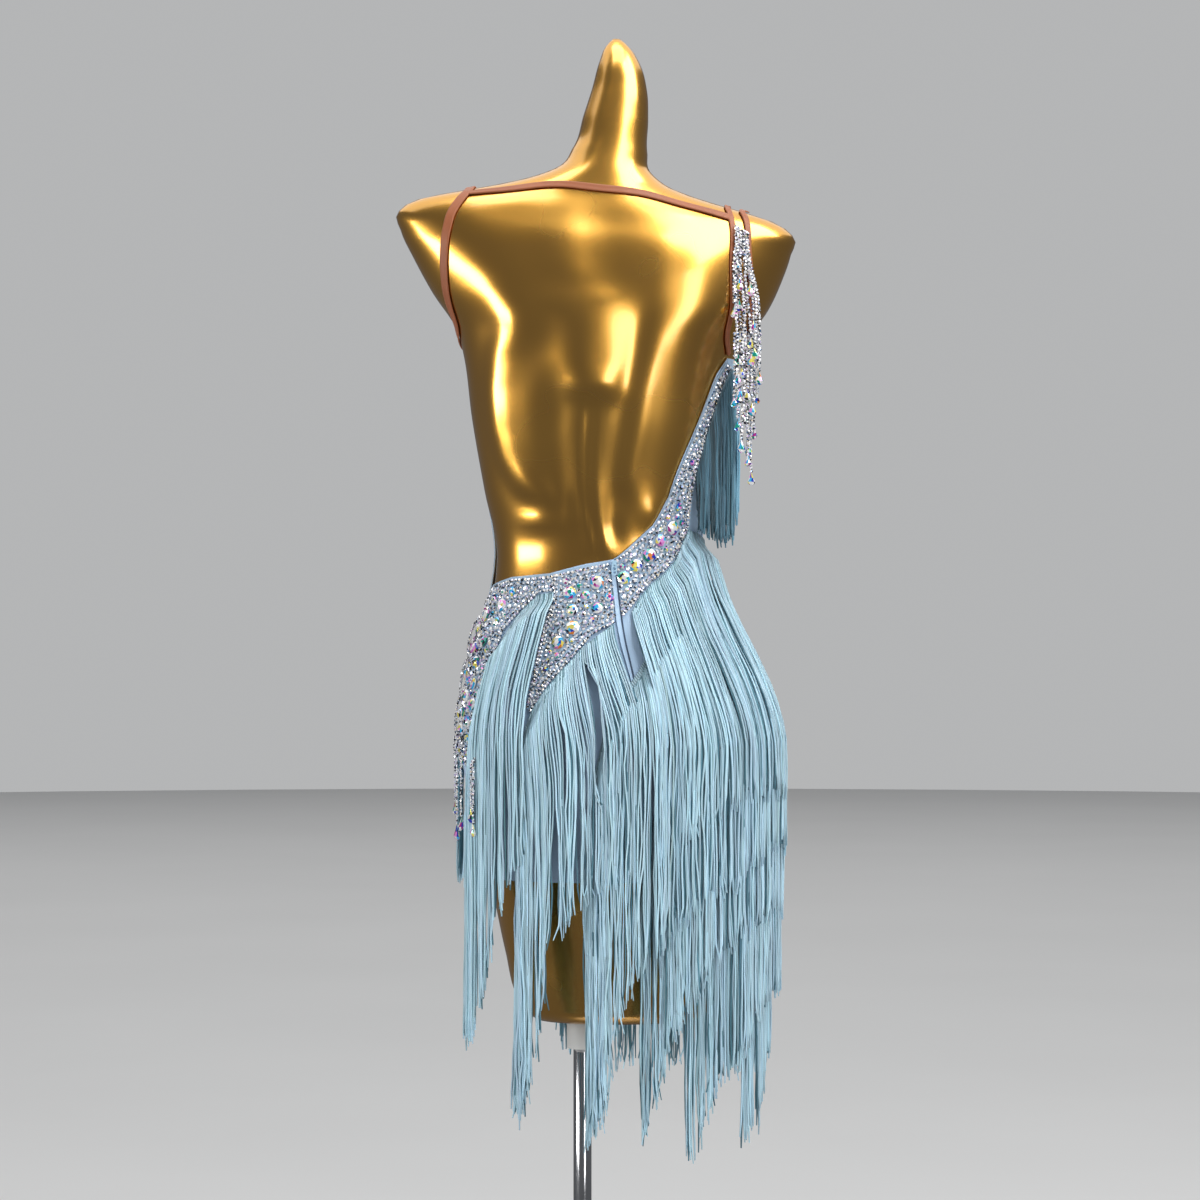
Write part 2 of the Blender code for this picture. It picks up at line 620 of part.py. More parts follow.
def main():
    for old in list(bpy.data.objects):
        bpy.data.objects.remove(old, do_unlink=True)
    gold = make_material("form_gold", (0.55, 0.31, 0.08), 0.3, 1.0)
    steel = make_material("stand_steel", (0.62, 0.62, 0.64), 0.15, 1.0)
    socket_white = make_material("socket_white", (0.72, 0.72, 0.72), 0.4)
    cloth = make_material("stretch_cloth", (0.30, 0.48, 0.66), 0.6)
    stones = make_material("stoned_cloth", (0.60, 0.64, 0.72), 0.25, 0.4)
    threads = make_material("fringe_thread", (0.33, 0.53, 0.62), 0.5)
    elastic = make_material("elastic_tan", (0.52, 0.20, 0.11), 0.6)
    crystal = make_material("crystal_chain", (0.70, 0.72, 0.76), 0.15, 0.8)
    tab = make_material("zip_paint", (0.42, 0.62, 0.76), 0.35)

    form(gold)
    stand(steel, socket_white)

    wall("skirt_back_left", BACK_LEFT, 17, 11, CLOTH, cloth)
    wall("skirt_back_right", BACK_RIGHT, 17, 11, CLOTH, cloth)
    wall("skirt_front", SKIRT_FRONT, 18, 10, CLOTH, cloth)
    wall("bodice_side_right", BODICE_SIDE, 16, 6, CLOTH, cloth)
    wall("bodice_front", BODICE_FRONT, 25, 22, BODICE, cloth)
    wall("yoke_hip_left", HIP_YOKE, 10.5, 4, OVERLAY, stones, stones=True)
    wall("yoke_back_left", BACK_LEFT_YOKE, 10.5, 6, OVERLAY, stones, stones=True)
    wall("yoke_back_right", BACK_RIGHT_YOKE, 10.5, 4, OVERLAY, stones, stones=True)
    wall("zip_placket", ZIP_PLACKET, 20, 1, OVERLAY, cloth)
    zip_box("zip_slider", SLIDER_SIZE, SLIDER_OFF, SLIDER_SIZE[1] / 2, tab)
    zip_box("zip_pull", PULL_SIZE, PULL_OFF, PULL_SIZE[1] - PULL_ABOVE_HINGE, tab)

    for name, row in FRINGE_ROWS.items():
        fringe(name, row, threads, free=name == "fringe_bust")
    skin = skin_sample()
    for name, (width, places) in STRAPS.items():
        strap(name, width, places, skin, elastic)
    shoulder_chains(skin, crystal)
    fringe("chains_hip", HIP_CHAINS, crystal, share=HIP_CHAIN_SHARE, drop=True)


if __name__ == "__main__":
    main()
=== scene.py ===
"""Looks of a light blue salsa dance dress with tiered fringe, on a satin gold dress form.

Metres, +Z up, the open back towards +Y. A place on the form's skin is an angle and a height:
0 degrees is the wearer's left side, 90 the middle of the back, 180 the right side, 270 the front.
Every piece is worked out as whole arrays over that skin and sits where its solid is.
"""

import math

import bmesh
import bpy
import numpy as np
from mathutils import Euler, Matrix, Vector


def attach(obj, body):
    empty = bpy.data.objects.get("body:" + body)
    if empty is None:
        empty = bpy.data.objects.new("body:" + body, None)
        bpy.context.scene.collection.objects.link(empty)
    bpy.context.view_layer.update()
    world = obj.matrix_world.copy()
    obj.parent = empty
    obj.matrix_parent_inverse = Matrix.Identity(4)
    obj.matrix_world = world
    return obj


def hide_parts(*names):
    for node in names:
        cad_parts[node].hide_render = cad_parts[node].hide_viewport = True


MM = 0.001

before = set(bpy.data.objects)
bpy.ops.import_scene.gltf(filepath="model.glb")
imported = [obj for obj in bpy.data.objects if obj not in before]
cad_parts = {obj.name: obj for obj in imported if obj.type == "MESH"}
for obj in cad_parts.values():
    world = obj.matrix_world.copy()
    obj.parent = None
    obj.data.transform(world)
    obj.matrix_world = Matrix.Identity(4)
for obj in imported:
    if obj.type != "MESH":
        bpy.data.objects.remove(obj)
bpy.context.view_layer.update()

# ---------------------------------------------------------------- the skin

FORM_SECTIONS = (
    # height, centre x, centre y, half width, depth to the back, depth to the front
    (550, -36, 0, 84, 56, 58),
    (556, -36, 0, 94, 65, 66),
    (570, -36, 0, 103, 72, 72),
    (621, -36, 0, 117, 82, 80),
    (678, -35, 2, 128, 90, 86),
    (760, -36, 5, 149, 99, 92),
    (841, -36, 7, 160, 103, 96),
    (903, -30, 5, 147, 97, 97),
    (954, -23, 0, 129, 88, 95),
    (997, -20, -5, 114, 80, 88),
    (1036, -17, -7, 107, 76, 83),
    (1104, -12, -3, 115, 82, 86),
    (1177, -14, 2, 130, 90, 94),
    (1241, -17, 4, 142, 94, 102),
    (1263, -18, 5, 149, 94, 102),
    (1300, -18, 7, 175, 91, 96),
    (1335, -16, 9, 193, 83, 86),
    (1362, -14, 11, 204, 73, 75),
    (1381, -14, 13, 207, 62, 64),
    (1397, -13, 14, 181, 54, 56),
    (1408, -12, 14, 136, 49, 51),
    (1420, -14, 13, 88, 46, 47),
    (1436, -22, 11, 52, 43, 43),
    (1460, -29, 7, 39, 39, 39),
    (1495, -35, 1, 34, 35, 35),
    (1524, -39, -3, 29, 30, 30),
    (1554, -39, -6, 21, 22, 22),
    (1571, -37, -7, 12, 12, 12),
    (1579, -36, -7, 4, 4, 4),
)
SQUARENESS = 2.15
SHOULDER_ROLL = 0.063
ROLL_FROM, ROLL_TO = 1080 * MM, 1330 * MM
FORM_TOP = 1579 * MM
FORM_BOTTOM = 550 * MM

# Swells and hollows: middle angle and height, reach each way, rise (degrees and mm).
BROAD_RELIEF = (
    (90, 1180, 6.5, 130, -6),
    (58, 1290, 15, 60, 5),
    (122, 1290, 15, 60, 5),
    (64, 835, 20, 62, 7),
    (116, 835, 20, 62, 7),
    (246, 1240, 19, 58, 19),
    (294, 1240, 19, 58, 19),
)
FINE_RELIEF = (
    (58, 1070, 13, 9, 2.4),
    (58, 1094, 12, 12, -1.8),
    (48, 1336, 13, 32, 2.0),
    (118, 1340, 13, 34, 2.2),
    (77, 1086, 3.2, 17, 1.3),
    (120, 1078, 8, 14, 2.4),
    (104, 1092, 6, 16, -2.0),
)
# Long crests and grooves: reach each side in degrees, rise in mm, and the angles and heights that
# they run through, from the upper end down.
CREST_LINES = (
    (11.0, 5.0, (
        (62, 1290), (55.5, 1260), (47, 1234), (42, 1202), (42, 1162), (46, 1132), (54, 1110), (64, 1090))),
    (12.0, 7.0, ((83, 1294), (84, 1250), (86, 1196))),
    (6.5, 4.2, ((90, 1310), (90, 1250), (90, 1206))),
    (8.5, -3.6, ((74.5, 1216), (72, 1162), (73.5, 1112), (77, 1080))),
    (6.8, 5.4, ((90, 1212), (89.5, 1180), (89.5, 1142), (89.5, 1098), (90, 1062), (91.5, 1036))),
    (1.5, -2.4, ((88, 1190), (87, 1142), (87.2, 1102), (88.4, 1072), (90.4, 1040))),
    (5.5, -2.6, ((105, 1290), (104, 1240), (101, 1196), (100, 1154), (98, 1092), (97, 1050))),
    (4.5, 0.8, (
        (108.5, 1372), (107.5, 1340), (108, 1298), (110, 1252), (110.5, 1206), (109, 1154), (106, 1102))),
    (7.0, -1.6, ((93, 1390), (94, 1348), (95, 1306))),
    (7.0, 1.5, ((80, 1400), (80.5, 1366), (81, 1322))),
)
# Height in mm over which a crest rises from its lower end, and over which it dies away at its upper one.
CREST_FADE_LOW, CREST_FADE_HIGH = 26, 44
# Steps round (degrees) and up that the skin's normals are taken from.
SMALL_TURN, SMALL_RISE = 0.5, MM
# How far off the skin lengths along it are measured, which is about where the trim sits.
MEASURED_AT = 5 * MM
LINE_SAMPLES = 900


def smooth_column(heights, values, wanted):
    """Cubic curve through a column of the section table."""
    slopes = np.gradient(values, heights)
    row = np.clip(np.searchsorted(heights, wanted) - 1, 0, len(heights) - 2)
    step = heights[row + 1] - heights[row]
    t = np.clip((wanted - heights[row]) / step, 0, 1)
    rise = values[row + 1] - values[row]
    return (
        values[row]
        + t * step * slopes[row]
        + t**2 * (3 * rise - step * (2 * slopes[row] + slopes[row + 1]))
        + t**3 * (step * (slopes[row] + slopes[row + 1]) - 2 * rise)
    )


def ease(t):
    t = np.clip(t, 0, 1)
    return t * t * (3 - 2 * t)


def swells(angle, height):
    """Relief of the skin, one swell after another: its rise in mm and its share at these places. A bell
    falls off round its middle; a crest is a bell across its line, and fades at the line's two ends."""
    for middle, level, angle_reach, height_reach, rise in BROAD_RELIEF + FINE_RELIEF:
        off_angle = (angle - middle + 180) % 360 - 180
        yield rise, np.exp(-((off_angle / angle_reach) ** 2) - ((height / MM - level) / height_reach) ** 2)
    for reach, rise, places in CREST_LINES:
        line = np.array(places, float)
        levels, middles = line[::-1, 1], line[::-1, 0]
        off_angle = (angle - np.interp(height / MM, levels, middles) + 180) % 360 - 180
        lower_end = ease((height / MM - levels[0]) / CREST_FADE_LOW + 0.5)
        upper_end = ease((levels[-1] - height / MM) / CREST_FADE_HIGH + 0.5)
        yield rise, np.exp(-((off_angle / reach) ** 2)) * (lower_end * upper_end)


def form_point(angle, height):
    """Skin at an angle and a height: a superellipse through the section table, its depth different to
    back and front, plus the swells, and a roll that lifts one shoulder."""
    angle, height = np.broadcast_arrays(np.asarray(angle, float), np.asarray(height, float))
    table = np.array(FORM_SECTIONS, float).T * MM
    centre_x, centre_y, half_width, back, front = (
        smooth_column(table[0], column, height) for column in table[1:])
    turn = np.radians(angle)
    across, along = np.cos(turn), np.sin(turn)
    x = half_width * np.sign(across) * np.abs(across) ** (2 / SQUARENESS)
    y = np.where(along > 0, back, front) * np.sign(along) * np.abs(along) ** (2 / SQUARENESS)
    for rise, share in swells(angle, height):
        x = x + across * rise * MM * share
        y = y + along * rise * MM * share
    roll = SHOULDER_ROLL * ease((height - ROLL_FROM) / (ROLL_TO - ROLL_FROM))
    return np.stack([centre_x + x, centre_y + y, height + x * roll], axis=-1)


def form_normal(angle, height):
    """Outward unit normal of the skin, from small steps round and up."""
    round_way = form_point(angle + SMALL_TURN, height) - form_point(angle - SMALL_TURN, height)
    up_way = form_point(angle, height + SMALL_RISE) - form_point(angle, height - SMALL_RISE)
    normal = np.cross(round_way, up_way)
    return normal / np.linalg.norm(normal, axis=-1, keepdims=True)


def off_form(angle, height, clearance):
    """The skin moved out along its normal by a clearance, one for all places or one for each."""
    angle, height = np.asarray(angle, float), np.asarray(height, float)
    return form_point(angle, height) + form_normal(angle, height) * np.asarray(clearance, float)[..., None]


def reach_along(line):
    """Distance run from a line's start to each of its points."""
    return np.concatenate([[0], np.cumsum(np.linalg.norm(np.diff(line, axis=0), axis=1))])


def points_at(line, reach, steps):
    """Points of a line at these distances along it."""
    return np.stack([np.interp(steps, reach, line[:, k]) for k in range(3)], axis=-1)


# ---------------------------------------------------------------- mesh from arrays


def unit(vectors):
    return vectors / np.maximum(np.linalg.norm(vectors, axis=-1, keepdims=True), 1e-9)


def volume_of(points, faces):
    """Signed volume: the sum over each face's fan of triangles of the product with the origin."""
    total = 0.0
    for block in faces:
        first = points[block[:, 0]]
        for k in range(1, block.shape[1] - 1):
            total += float((first * np.cross(points[block[:, k]], points[block[:, k + 1]])).sum())
    return total


def add_piece(name, mesh, stands_for, body="root"):
    """The mesh as a piece that rides on a body and stands for the named solids."""
    piece = bpy.data.objects.new(name, mesh)
    bpy.context.scene.collection.objects.link(piece)
    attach(piece, body)
    if stands_for:
        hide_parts(*stands_for)
    return piece


def make_piece(name, points, faces, material, stands_for=(), smooth=True, uv=None, tint_and_painted_light=None,
               face_tint_and_painted_light=None, sharp=None):
    """A closed piece from whole arrays. faces: blocks of one corner count; uv: blocks alike, or one
    pair a point; tint: a colour a point; face_tint_and_painted_light: blocks of a colour a face."""
    points = np.asarray(points, float).reshape(-1, 3)
    faces = [np.asarray(block, np.int64) for block in faces if len(block)]
    if volume_of(points, faces) < 0:
        faces = [block[:, ::-1] for block in faces]
        if isinstance(uv, list):
            uv = [block[:, ::-1] for block in uv]
    mesh = bpy.data.meshes.new(name)
    corners = np.concatenate([block.ravel() for block in faces])
    sizes = np.concatenate([np.full(len(block), block.shape[1]) for block in faces])
    mesh.vertices.add(len(points))
    mesh.vertices.foreach_set("co", points.astype(np.float32).ravel())
    mesh.loops.add(len(corners))
    mesh.loops.foreach_set("vertex_index", corners.astype(np.int32))
    mesh.polygons.add(len(sizes))
    mesh.polygons.foreach_set("loop_start", (np.cumsum(sizes) - sizes).astype(np.int32))
    mesh.update(calc_edges=True)
    if uv is not None:
        by_face = isinstance(uv, list)
        flat = np.concatenate([block.reshape(-1, 2) for block in uv]) if by_face else uv[corners]
        layer = mesh.uv_layers.new(name="along")
        layer.data.foreach_set("uv", flat.astype(np.float32).ravel())
    # The colour attribute holds each point's own tone together with painted light: painted glints on stones,
    # painted shade and light on fringe.
    if tint_and_painted_light is not None or face_tint_and_painted_light is not None:
        if tint_and_painted_light is not None:
            shades = np.asarray(tint_and_painted_light)[corners]
        else:
            shades = np.repeat(np.concatenate(face_tint_and_painted_light), sizes, axis=0)
        layer = mesh.attributes.new("tint_and_painted_light", "FLOAT_COLOR", "CORNER")
        layer.data.foreach_set("color", np.c_[shades, np.ones(len(shades))].astype(np.float32).ravel())
    mesh.polygons.foreach_set("use_smooth", np.full(len(sizes), bool(smooth)))
    if sharp:
        mesh.set_sharp_from_angle(angle=math.radians(sharp))
    mesh.materials.append(material)
    mesh.update()
    return add_piece(name, mesh, stands_for)


def grid_faces(rows, columns, closed=False):
    """Quads of a grid stored row by row; a closed grid joins its last column to its first."""
    breadth = columns if closed else columns - 1
    row, column = np.meshgrid(np.arange(rows - 1), np.arange(breadth), indexing="ij")
    after = (column + 1) % columns
    here, there = row * columns + column, row * columns + after
    return np.stack([here, there, there + columns, here + columns], axis=-1).reshape(-1, 4)


def shell_arrays(outer, inner):
    """Points and faces of a wall between two grids of one shape, closed round its rim."""
    rows, columns = outer.shape[:2]
    count = rows * columns
    quads = grid_faces(rows, columns)
    index = np.arange(count).reshape(rows, columns)
    rim = np.concatenate([index[0, :-1], index[:-1, -1], index[-1, :0:-1], index[:0:-1, 0]])
    after = np.roll(rim, -1)
    sides = np.stack([after, rim, rim + count, after + count], axis=-1)
    faces = np.concatenate([quads, quads[:, ::-1] + count, sides])
    return np.concatenate([outer.reshape(-1, 3), inner.reshape(-1, 3)]), faces


def lathe(name, profile, sides, finish, stands_for, sharp=40):
    """A profile of (radius, height) pairs in mm turned round the stand's axis, closed flat at both
    ends."""
    turn = np.linspace(0, 2 * math.pi, sides, endpoint=False)
    radius, height = (np.array(profile) * MM).T
    points = np.stack([radius[:, None] * np.cos(turn), radius[:, None] * np.sin(turn),
                       np.repeat(height[:, None], sides, axis=1)], axis=-1)
    rows = len(profile)
    caps = [np.arange(sides)[None, ::-1], (np.arange(sides) + (rows - 1) * sides)[None]]
    faces = [grid_faces(rows, sides, closed=True), np.concatenate(caps)]
    return make_piece(name, points, faces, finish.material, stands_for, sharp=sharp)


# ---------------------------------------------------------------- materials

WHITE = (1.0, 1.0, 1.0)
# Places of the colour sockets on a Mix node that is set to colours.
MIX_FACTOR, MIX_FIRST, MIX_SECOND, MIX_RESULT = 0, 6, 7, 2


def shader_group(name, inputs, outputs):
    """An empty node group with float inputs and outputs, given as {name: value} and {name: kind}."""
    group = bpy.data.node_groups.new(name, "ShaderNodeTree")
    for label, value in inputs.items():
        kind = "NodeSocketVector" if value is None else "NodeSocketFloat"
        socket = group.interface.new_socket(label, in_out="INPUT", socket_type=kind)
        if value is not None:
            socket.default_value = value
    for label, kind in outputs.items():
        group.interface.new_socket(label, in_out="OUTPUT", socket_type=kind)
    return group, group.nodes.new("NodeGroupInput").outputs, group.nodes.new("NodeGroupOutput").inputs


def math_node(tree, operation, first, second=None):
    node = tree.nodes.new("ShaderNodeMath")
    node.operation = operation
    for socket, value in zip(node.inputs, (first, second)):
        if isinstance(value, bpy.types.NodeSocket):
            tree.links.new(value, socket)
        elif value is not None:
            socket.default_value = value
    return node.outputs[0]


def make_ribs():
    """Fine ridges: a sine along the length plus a slant round it, and a second sine across it, as a
    height."""
    inputs = {"Place": None, "Pitch": 1.6 * MM, "Slant": 1.0, "Across": 0.0}
    group, given, out = shader_group("yarn_ridges", inputs, {"Height": "NodeSocketFloat"})
    along_share, across_share = 0.5, 0.3
    split = group.nodes.new("ShaderNodeSeparateXYZ")
    group.links.new(given["Place"], split.inputs[0])

    def sine_of_turns(turns):
        return math_node(group, "SINE", math_node(group, "MULTIPLY", turns, 2 * math.pi))

    turns = math_node(group, "DIVIDE", split.outputs["Y"], given["Pitch"])
    slant = math_node(group, "MULTIPLY", split.outputs["X"], given["Slant"])
    wave = sine_of_turns(math_node(group, "ADD", turns, slant))
    cross = sine_of_turns(math_node(group, "MULTIPLY", split.outputs["X"], given["Across"]))
    both = math_node(group, "ADD", math_node(group, "MULTIPLY", wave, along_share),
                     math_node(group, "MULTIPLY", cross, across_share))
    group.links.new(both, out["Height"])
    return group


def make_mottle():
    """Uneven finish: two noises of the piece's own coordinates, broad and fine, as masks from 0 to
    1."""
    group, given, out = shader_group("uneven_finish", {"Broad scale": 9.0, "Fine scale": 260.0},
                                     {"Broad": "NodeSocketFloat", "Fine": "NodeSocketFloat"})
    place = group.nodes.new("ShaderNodeTexCoord")
    for label, scale, detail in (("Broad", "Broad scale", 3.0), ("Fine", "Fine scale", 2.0)):
        noise = group.nodes.new("ShaderNodeTexNoise")
        noise.inputs["Detail"].default_value = detail
        group.links.new(place.outputs["Object"], noise.inputs["Vector"])
        group.links.new(given[scale], noise.inputs["Scale"])
        group.links.new(noise.outputs["Fac"], out[label])
    return group


YARN_RIDGES = make_ribs()
UNEVEN_FINISH = make_mottle()


class Finish:
    """A Principled material, with short ways to lay mottle, ridges and a per-point colour on it, which can
    carry painted light and shade.
    """

    def __init__(self, name, colour, roughness, **sockets):
        self.material = bpy.data.materials.new(name)
        self.material.use_nodes = True
        self.tree = self.material.node_tree
        self.shader = self.tree.nodes["Principled BSDF"]
        self.colour = (*colour, 1.0)
        self.shader.inputs["Base Color"].default_value = self.colour
        self.shader.inputs["Roughness"].default_value = roughness
        for label, value in sockets.items():
            self.shader.inputs[label.replace("_", " ")].default_value = value
        self.shade = None
        self.normal = None

    def node(self, kind):
        return self.tree.nodes.new(kind)

    def group(self, group, **values):
        node = self.node("ShaderNodeGroup")
        node.node_tree = group
        for label, value in values.items():
            node.inputs[label.replace("_", " ")].default_value = value
        return node

    def multiply(self, colour_socket):
        """Base Color times another colour."""
        mix = self.node("ShaderNodeMix")
        mix.data_type, mix.blend_type = "RGBA", "MULTIPLY"
        mix.inputs[MIX_FACTOR].default_value = 1.0
        if self.shade is None:
            mix.inputs[MIX_FIRST].default_value = self.colour
        else:
            self.tree.links.new(self.shade, mix.inputs[MIX_FIRST])
        self.tree.links.new(colour_socket, mix.inputs[MIX_SECOND])
        self.shade = mix.outputs[MIX_RESULT]
        self.tree.links.new(self.shade, self.shader.inputs["Base Color"])

    def tinted_with_painted_light(self):
        # Base Color times the colour attribute, which carries painted highlights and painted shade as well
        # as own tone.
        tint_and_painted_light = self.node("ShaderNodeAttribute")
        tint_and_painted_light.attribute_name = "tint_and_painted_light"
        self.multiply(tint_and_painted_light.outputs["Color"])
        return self

    def ramp(self, mask, low, high, low_at=0.35, high_at=0.65):
        ramp = self.node("ShaderNodeValToRGB")
        ramp.color_ramp.elements[0].position, ramp.color_ramp.elements[1].position = low_at, high_at
        ramp.color_ramp.elements[0].color = (*low, 1.0)
        ramp.color_ramp.elements[1].color = (*high, 1.0)
        self.tree.links.new(mask, ramp.inputs[0])
        return ramp.outputs[0]

    def mottled(self, low, broad=9.0, fine=260.0, rough=None, bump=0.0, depth=0.2 * MM):
        """Colour times a low shade to white by the broad mask, roughness by it too, a small bump by the
        fine."""
        mottle = self.group(UNEVEN_FINISH, Broad_scale=broad, Fine_scale=fine)
        self.multiply(self.ramp(mottle.outputs["Broad"], low, WHITE))
        if rough:
            spread = self.node("ShaderNodeMapRange")
            self.tree.links.new(mottle.outputs["Broad"], spread.inputs[0])
            spread.inputs["To Min"].default_value, spread.inputs["To Max"].default_value = rough
            self.tree.links.new(spread.outputs[0], self.shader.inputs["Roughness"])
        if bump:
            self.bumped(mottle.outputs["Fine"], bump, depth)
        return self

    def bumped(self, height, strength, depth):
        bump = self.node("ShaderNodeBump")
        bump.inputs["Strength"].default_value = strength
        bump.inputs["Distance"].default_value = depth
        self.tree.links.new(height, bump.inputs["Height"])
        if self.normal is not None:
            self.tree.links.new(self.normal, bump.inputs["Normal"])
        self.normal = bump.outputs["Normal"]
        self.tree.links.new(self.normal, self.shader.inputs["Normal"])

    def ridged(self, pitch, slant, strength, depth, across=0.0, shade=None):
        """Ridges along the piece's own map, which is in metres along and turns or shares across; with a
        shade, painted shade darkens the colour in their grooves.
        """
        place = self.node("ShaderNodeUVMap")
        place.uv_map = "along"
        ridges = self.group(YARN_RIDGES, Pitch=pitch, Slant=slant, Across=across)
        self.tree.links.new(place.outputs[0], ridges.inputs["Place"])
        self.bumped(ridges.outputs["Height"], strength, depth)
        # Painted shade: the colour darkens down to this share in the ridges' grooves.
        if shade:
            self.multiply(self.ramp(ridges.outputs["Height"], (shade,) * 3, WHITE, 0.0, 0.6))
        return self


form_gold = Finish("form_gold", (0.90, 0.465, 0.075), 0.28, Metallic=1.0,
                   Specular_Tint=(1.0, 0.82, 0.52, 1.0), Coat_Weight=1.0, Coat_Roughness=0.14, Coat_IOR=1.62)
form_gold.mottled((0.93, 0.91, 0.88), broad=5.0, fine=900.0, rough=(0.24, 0.30), bump=0.05, depth=0.08 * MM)
stand_steel = Finish("stand_steel", (0.66, 0.66, 0.68), 0.14, Metallic=1.0)
stand_steel.mottled((0.9, 0.9, 0.9), broad=14.0, fine=700.0, rough=(0.10, 0.18), bump=0.03)
socket_white = Finish("socket_white", (0.74, 0.74, 0.73), 0.38)
socket_white.mottled((0.94, 0.94, 0.93), broad=30.0, fine=600.0, bump=0.08)
stretch_cloth = Finish("stretch_cloth", (0.51, 0.70, 0.92), 0.62, Sheen_Weight=0.25, Sheen_Roughness=0.4)
stretch_cloth.mottled((0.92, 0.93, 0.94), broad=16.0, fine=420.0, bump=0.15)
# Painted shade in the knit's grooves.
stretch_cloth.ridged(0.9 * MM, 0.0, 0.35, 0.12 * MM, across=1100.0, shade=0.9)
# Painted shade: the yokes' cloth between the stones is a darker copy of the stretch cloth, standing for the
# stones' shadow on it.
stoned_cloth = Finish("stoned_cloth", (0.37, 0.51, 0.66), 0.6, Sheen_Weight=0.2, Sheen_Roughness=0.4)
stoned_cloth.mottled((0.8, 0.82, 0.85), broad=60.0, fine=420.0, bump=0.15)
# Fringe strands take their random tone and their painted shade and painted light from the colour attribute.
fringe_thread = Finish("fringe_thread", (0.475, 0.70, 0.815), 0.34, Sheen_Weight=0.15, Sheen_Roughness=0.35,
                       Specular_IOR_Level=0.55)
fringe_thread.tinted_with_painted_light().ridged(1.9 * MM, 1.0, 0.4, 0.12 * MM, shade=0.9)
elastic_tan = Finish("elastic_tan", (0.40, 0.125, 0.048), 0.45, Sheen_Weight=0.12, Sheen_Roughness=0.4)
elastic_tan.mottled((0.90, 0.88, 0.86), broad=40.0, fine=500.0, bump=0.1)
# Painted shade in the grooves between the elastic's ribs.
elastic_tan.ridged(0.9 * MM, 0.0, 0.5, 0.12 * MM, across=6.0, shade=0.8)
# Stones take their facet colours from the colour attribute: mostly painted highlights, painted reflections
# and painted shade.
cut_crystal = Finish("cut_crystal", WHITE, 0.08, Metallic=0.25, Specular_IOR_Level=0.9, Coat_Weight=1.0,
                     Coat_Roughness=0.03)
cut_crystal.tinted_with_painted_light().mottled((0.92, 0.92, 0.94), broad=180.0)
chain_silver = Finish("chain_silver", (0.78, 0.78, 0.80), 0.2, Metallic=1.0)
chain_silver.mottled((0.8, 0.8, 0.82), broad=120.0, rough=(0.14, 0.3))
zip_paint = Finish("zip_paint", (0.40, 0.60, 0.76), 0.33, Coat_Weight=0.4)
zip_paint.mottled((0.93, 0.94, 0.95), broad=300.0, fine=1500.0, bump=0.05)
zip_shadow = Finish("zip_shadow", (0.045, 0.075, 0.13), 0.8)
zip_shadow.mottled((0.7, 0.75, 0.8), broad=120.0, fine=900.0, bump=0.1)

# ---------------------------------------------------------------- form and stand

FORM_SIDES = 180
# Where the form's rings change from the rim's spacing to the body's and on to the neck's.
RIM_TO, NECK_FROM, RING_STEP = 570 * MM, 1420 * MM, 6.5 * MM
TIP_RISE = 0.4 * MM
BASE_RADIUS, BASE_ROUND = 165, 4
POLE_OUTLINE = ((9.1, 10.3), (9.5, 10.9), (9.5, 300), (9.5, 517.9), (9.1, 518.4))
COLLAR_OUTLINE = ((15.4, 518.7), (16.2, 519.2), (16.5, 520.4), (16.5, 548.3), (16.1, 549.5), (15.6, 549.7))


def make_form():
    """The skin itself on a fine grid of angles and heights, with a fan at the neck's tip and a flat
    bottom."""
    levels = np.concatenate([
        np.linspace(FORM_BOTTOM, RIM_TO, 7)[:-1],
        np.arange(RIM_TO, NECK_FROM, RING_STEP),
        np.linspace(NECK_FROM + 2 * MM, FORM_TOP - TIP_RISE, 36),
    ])
    turn = np.linspace(0, 360, FORM_SIDES, endpoint=False)
    rings = form_point(turn[None, :], levels[:, None])
    rows = len(levels)
    count = rows * FORM_SIDES
    tip = rings[-1].mean(axis=0) + np.array([0, 0, TIP_RISE])
    low = rings[0].mean(axis=0)
    first = np.arange(FORM_SIDES)
    last = (rows - 1) * FORM_SIDES + first
    fans = np.concatenate([
        np.stack([last, np.roll(last, -1), np.full(FORM_SIDES, count)], axis=-1),
        np.stack([np.roll(first, -1), first, np.full(FORM_SIDES, count + 1)], axis=-1),
    ])
    points = np.concatenate([rings.reshape(-1, 3), [tip, low]])
    make_piece("form_skin", points, [grid_faces(rows, FORM_SIDES, closed=True), fans], form_gold.material,
               ("form_torso",), sharp=50)


def make_stand():
    """Round base with a rounded rim, plain tube and white collar, each a turned profile."""
    rim = [(BASE_RADIUS - BASE_ROUND + BASE_ROUND * math.cos(a), 6 + BASE_ROUND * math.sin(a))
           for a in np.linspace(0, math.pi / 2, 7)]
    base = [(163, 0), (BASE_RADIUS, 1.2), *rim, (24, 10), (21, 10)]
    lathe("base_disc", base, 128, stand_steel, ("stand_base",), sharp=25)
    lathe("pole_tube", POLE_OUTLINE, 64, stand_steel, ("stand_pole",))
    lathe("pole_collar", COLLAR_OUTLINE, 64, socket_white, ("form_socket",))


make_form()
make_stand()

# ---------------------------------------------------------------- cloth panels

ZIP_ANGLE = 97.0
SEAM_TURN = 0.03
SKIRT_HEM = 700
# Millimetres round the form for each degree: for spacing, for the cloth's map and beside the zip.
MM_PER_DEGREE, MAP_MM_PER_DEGREE, ZIP_MM_PER_DEGREE = 2.25, 2.45, 2.3
CREASE_WAVES = 5
# Distances off the skin in mm of a cloth's two sides, from the body out to the overlays and the zip.
BODY_SEAT, FRONT_SEAT, YOKE_SEAT = (1.4, 2.4), (2.4, 3.5), (3.5, 4.5)
FLAP_SEAT, ZIP_SEAT = (3.5, 4.6), (4.85, 5.1)

